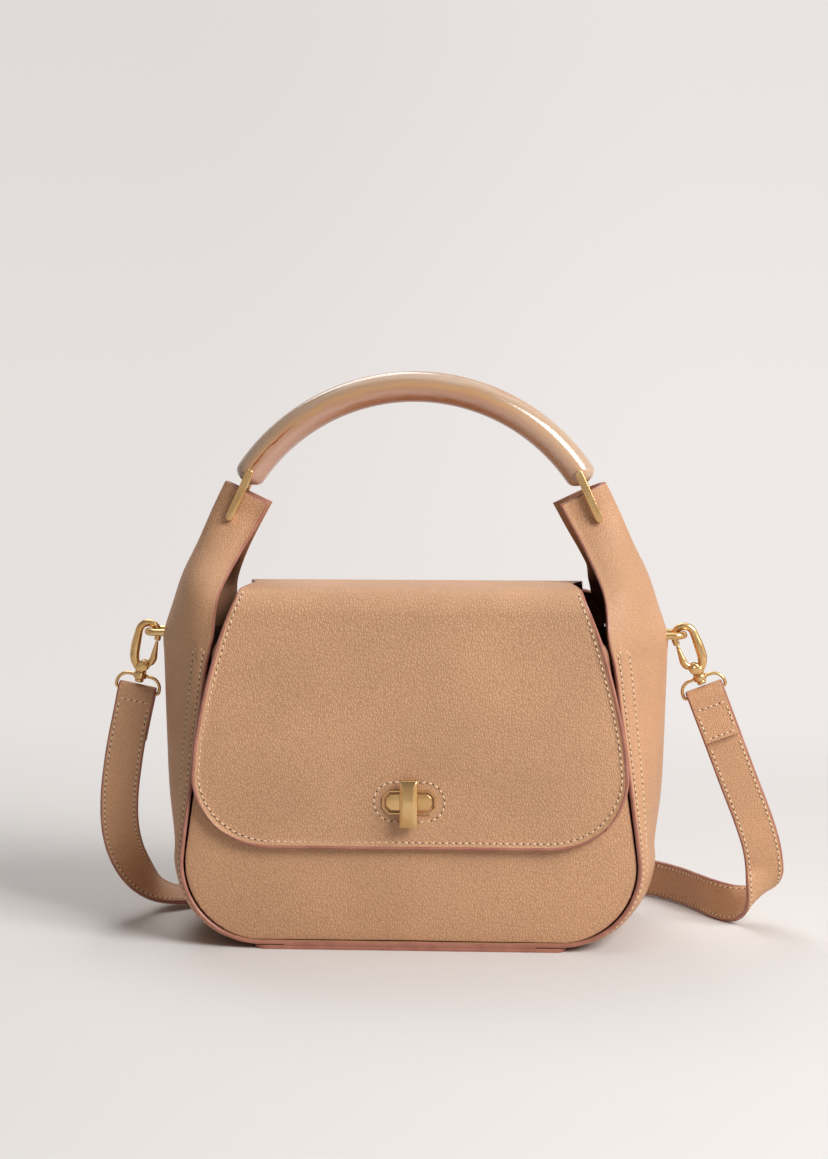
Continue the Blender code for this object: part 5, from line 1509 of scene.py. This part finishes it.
def strap_roll():
    """Half turn at the right: a band wound at 45 degrees round a slanting axis.

    With the axis a, a first direction e across it and the angle t, the centre line is
    start + radius (t a + sin(t) e + (1 - cos(t)) y), and the band's width lies along
    (cos(t) e + sin(t) y - a) / sqrt(2).
    """
    axis = np.array([-1.0, 0.0, -1.0]) / sqrt(2.0)
    first = np.array([1.0, 0.0, -1.0]) / sqrt(2.0)
    back = np.array(DEPTH_WAY)
    t = np.radians(np.linspace(STRAP_ROLL_TURN, 0.0, 7))[:, None]
    centre = axis * t + first * np.sin(t) + back * (1.0 - np.cos(t))
    place = np.array(STRAP_ROLL_START) + STRAP_ROLL_R * centre
    across = unit(first * np.cos(t) + back * np.sin(t) - axis)
    return [(tuple(p), tuple(w)) for p, w in zip(place, across)]


def strap_frames(count=520):
    """Centres, width directions and face directions along the strap."""
    coil = [((x, y, STRAP_COIL_Z), UP) for x, y in STRAP_COIL]
    stops = strap_fold(-1) + STRAP_FALL + coil + STRAP_TURN + strap_roll() + STRAP_RISE + strap_fold(1)[::-1]
    route = np.array([[*point, *unit(np.array(across, float))] for point, across in stops])
    fine = smooth_through(route, count)
    centre, across = fine[:, :3], fine[:, 3:]
    along = unit(np.gradient(centre, axis=0))
    across = unit(across - along * np.sum(across * along, axis=1)[:, None])
    return centre, across, np.cross(along, across)


def strap():
    """Ribbon with round painted edges: a section of (width, thickness) pairs carried along the route."""
    centre, across, face = strap_frames()
    half, thick, ease = STRAP_WIDTH / 2.0, STRAP_THICK / 2.0, STRAP_EDGE_EASE
    corner = arc_points((half - ease, thick - ease), ease, 0.0, 90.0, 5)
    flat = np.linspace((half - ease, thick), (ease - half, thick), 12)[1:-1]
    upper = np.concatenate([corner, flat, (corner * np.array([-1.0, 1.0]))[::-1]])
    section = np.concatenate([upper, -upper])
    width, height = section.T[:, None, :, None]
    rows = centre[:, None] + across[:, None] * width + face[:, None] * height
    faces = [corners[::-1] for corners in tube_faces(len(centre), len(section))]
    edge = (np.abs(section[:, 0]) + np.abs(np.roll(section[:, 0], -1))) / 2.0 > half - ease
    marks = np.concatenate([np.tile(np.where(edge, 1, 0), len(centre) - 1), [1, 1]])
    finishes = [STRAP_LEATHER, EDGE_PAINT]
    shell = (rows.reshape(-1, 3), faces, marks)
    made = piece("shoulder_strap", [shell], finishes, "bag", ["strap"], sharp=60.0)
    run = run_length(centre)
    sewn = strap_stitching(centre, across, face, run)
    (centre[::2] * MM).tolist()
    return made


def strap_stitching(centre, across, face, run):
    """Rows near both edges on both faces, and the box through each folded end.

    On the outer face of the fold the rows stop only where the strap goes round the ring's bar, and
    short rows close the box there and at the short end. The other face has its rows after the fold.
    """
    half, thick = STRAP_WIDTH / 2.0 - STRAP_STITCH_IN, STRAP_THICK / 2.0 - 0.02
    width = np.linspace(-half, half, 12)[:, None]
    lines = []
    outer = []
    for side, at in ((-1, 0.0), (1, run[-1])):
        turn = np.argmin(np.abs(run - abs(at - STRAP_FOLD_LENGTH - 2.5)))
        bar_place = np.array(clip_place(side) @ Vector((0.0, 0.0, DRING_BAR_Z)))
        outer.append(np.sign(face[turn] @ (centre[turn] - bar_place)))
        for away in FOLD_BOX[:3]:
            spot = np.argmin(np.abs(run - abs(at - away)))
            up = np.tile(face[spot] * outer[-1], (12, 1))
            lines.append((centre[spot] + across[spot] * width + up * thick, up))
    for edge in (-half, half):
        for sign in (-1.0, 1.0):
            first = FOLD_BOX[2] if sign == outer[0] else FOLD_BOX[3]
            last = FOLD_BOX[2] if sign == outer[1] else FOLD_BOX[3]
            spans = [(first, run[-1] - last)]
            if sign == outer[0]:
                spans.append(FOLD_BOX[:2])
            if sign == outer[1]:
                spans.append((run[-1] - FOLD_BOX[1], run[-1] - FOLD_BOX[0]))
            path = centre + across * edge + face * sign * thick
            for start, end in spans:
                inside = (run >= start) & (run <= end)
                lines.append((path[inside], face[inside] * sign))
    return stitched("strap_stitching", lines, "bag", SEAM_PITCH)


# Studio


def studio_paper():
    """Floor that turns up into a backdrop: a profile of depths and heights with a round bend, as a band."""
    width, front, back, bend, high = 6.0, -3.0, 1.6, 0.8, 3.6
    turn = arc_points((back, bend), bend, -90.0, 0.0, 20)
    y, z = np.concatenate([[(front, 0.0)], turn, [(back + bend, high)]]).T[:, :, None]
    points = grid(np.array([-width, width]), y, z)
    mesh = bpy.data.meshes.new("studio_paper")
    mesh.from_pydata(points.reshape(-1, 3).tolist(), [], quads(len(points), 2).tolist())
    mesh.materials.append(PAPER)
    mesh.shade_smooth()
    linked("studio_paper", mesh)


def studio_lights():
    """Large key light at the front right, three softer lamps, and a dim world that metal sees brighter."""
    lamps = [
        ("key_light", (1.43, -1.2, 1.4), (1.1, 1.1), 53.5),
        ("side_light", (1.5, -0.35, 0.75), (0.4, 1.2), 1.5),
        ("top_light", (0.1, 0.2, 2.3), (2.0, 2.6), 21.0),
        ("left_light", (-0.35, 0.75, 1.3), (0.7, 0.7), 5.5),
    ]
    aim = Vector((0.0, 0.0, 0.12))
    for name, place, size, power in lamps:
        lamp = bpy.data.lights.new(name, "AREA")
        lamp.shape = "RECTANGLE"
        lamp.size, lamp.size_y = size
        lamp.energy = power
        holder = linked(name, lamp)
        holder.location = place
        holder.rotation_mode = "QUATERNION"
        holder.rotation_quaternion = (Vector(place) - aim).to_track_quat("Z", "Y")
    sky = SkyRecipe("studio", (1.0, 0.985, 0.97, 1.0))
    height = sky.axis(sky.node("ShaderNodeTexCoord", output="Generated"), 2)
    inputs = {"Value": height, "From Min": 0.15, "From Max": 0.75, "To Min": 1.1, "To Max": 0.3}
    glossy = sky.node("ShaderNodeLightPath", output="Is Glossy Ray")
    sky.set("Strength", glossy * sky.node("ShaderNodeMapRange", {}, inputs) * 0.5 + 0.06)
    bpy.context.scene.world = sky.world


def studio_camera():
    """Camera that takes the photo's view."""
    camera = bpy.data.cameras.new("camera")
    camera.sensor_width = 36.0
    camera.lens = CAMERA_LENS
    camera.clip_start, camera.clip_end = 0.05, 30.0
    holder = linked("camera", camera)
    holder.location = CAMERA_PLACE
    holder.rotation_euler = (radians(90.0 - CAMERA_DOWN), 0.0, radians(CAMERA_TURN))
    bpy.context.scene.camera = holder
    bpy.context.scene.view_settings.view_transform = "Standard"


ROUND_GRAIN = (1.0, 1.0, 1.0)
TALL_GRAIN = (1.0, 1.0, 0.62)
SIDE_GRAIN = (1.0, 1.0, 0.7)
# The low tone of each pebbled leather colours its creases: painted shade.
FLAP_LEATHER = pebbled(
    "flap_leather", tone(207, 160, 122), tone(190, 142, 105), 780.0, TALL_GRAIN, 0.0002, 0.48
)
BODY_LEATHER = pebbled(
    "body_leather", tone(207, 159, 121), tone(190, 142, 105), 780.0, TALL_GRAIN, 0.0002, 0.48
)
SMOOTH_LEATHER = pebbled(
    "gusset_leather", tone(200, 152, 115), tone(187, 139, 102), 820.0, SIDE_GRAIN, 0.00014, 0.44
)
STRAP_LEATHER = pebbled(
    "strap_leather", tone(212, 163, 124), tone(196, 147, 109), 760.0, ROUND_GRAIN, 0.00016, 0.48
)
INNER_LEATHER = suede("inner_leather", tone(180, 132, 98), tone(156, 112, 82), 0.75)
EDGE_PAINT = edge_paint("edge_paint", tone(174, 115, 95), tone(156, 98, 80))
THREAD = thread("cream_thread", tone(238, 214, 184), tone(222, 194, 160))
# Awl holes are coloured dark: painted shade inside the holes.
AWL_HOLE_SHADE = suede("awl_hole_shade", tone(92, 58, 42), tone(72, 44, 32), 0.8)
GOLD = gold("satin_gold", tone(224, 186, 132), tone(210, 168, 112), 0.22)
# Dark metal for the lock plate's seat: painted shade in the recess.
RECESS_SHADE_METAL = gold("painted_recess_shade", tone(44, 28, 18), tone(32, 20, 13), 0.6)
RESIN = resin("marbled_resin")
LINING = lining_cloth("lining_twill", tone(112, 82, 60), tone(88, 62, 44))
BOARD = fibre_board("base_fibre", tone(140, 118, 92), tone(110, 90, 68))
# The floor tone, then the glow's left and right tones; the paler right tone is painted light.
PAPER = backdrop_paper("studio_paper", tone(219, 215, 212), tone(230, 225, 222), tone(239, 234, 231))

front_panel()
back_and_top()
flap()
for side, name in ((-1, "left"), (1, "right")):
    gusset(side, name)
    gusset_stitching(side, name)
    clip_hook(side, name)
    clip_gate(side, name)
    clip_pin(side, name)
    clip_ring(side, name)
    side_loop(side, name)
    handle_link(side, name)
flap_stitching()
lock_stitching()
base_leather()
lining_cloth_bag()
slip_pocket_cloth()
resin_handle()
lock_rim()
lock_plate()
lock_turning_bar()
strap()
for node, finish in (
    ("base_board", BOARD),
    ("lock_back_plate", GOLD),
    ("lock_frame_back", GOLD),
    ("left_loop_plate", GOLD),
    ("right_loop_plate", GOLD),
):
    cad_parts[node].data.materials.clear()
    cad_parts[node].data.materials.append(finish)
studio_paper()
studio_lights()
studio_camera()
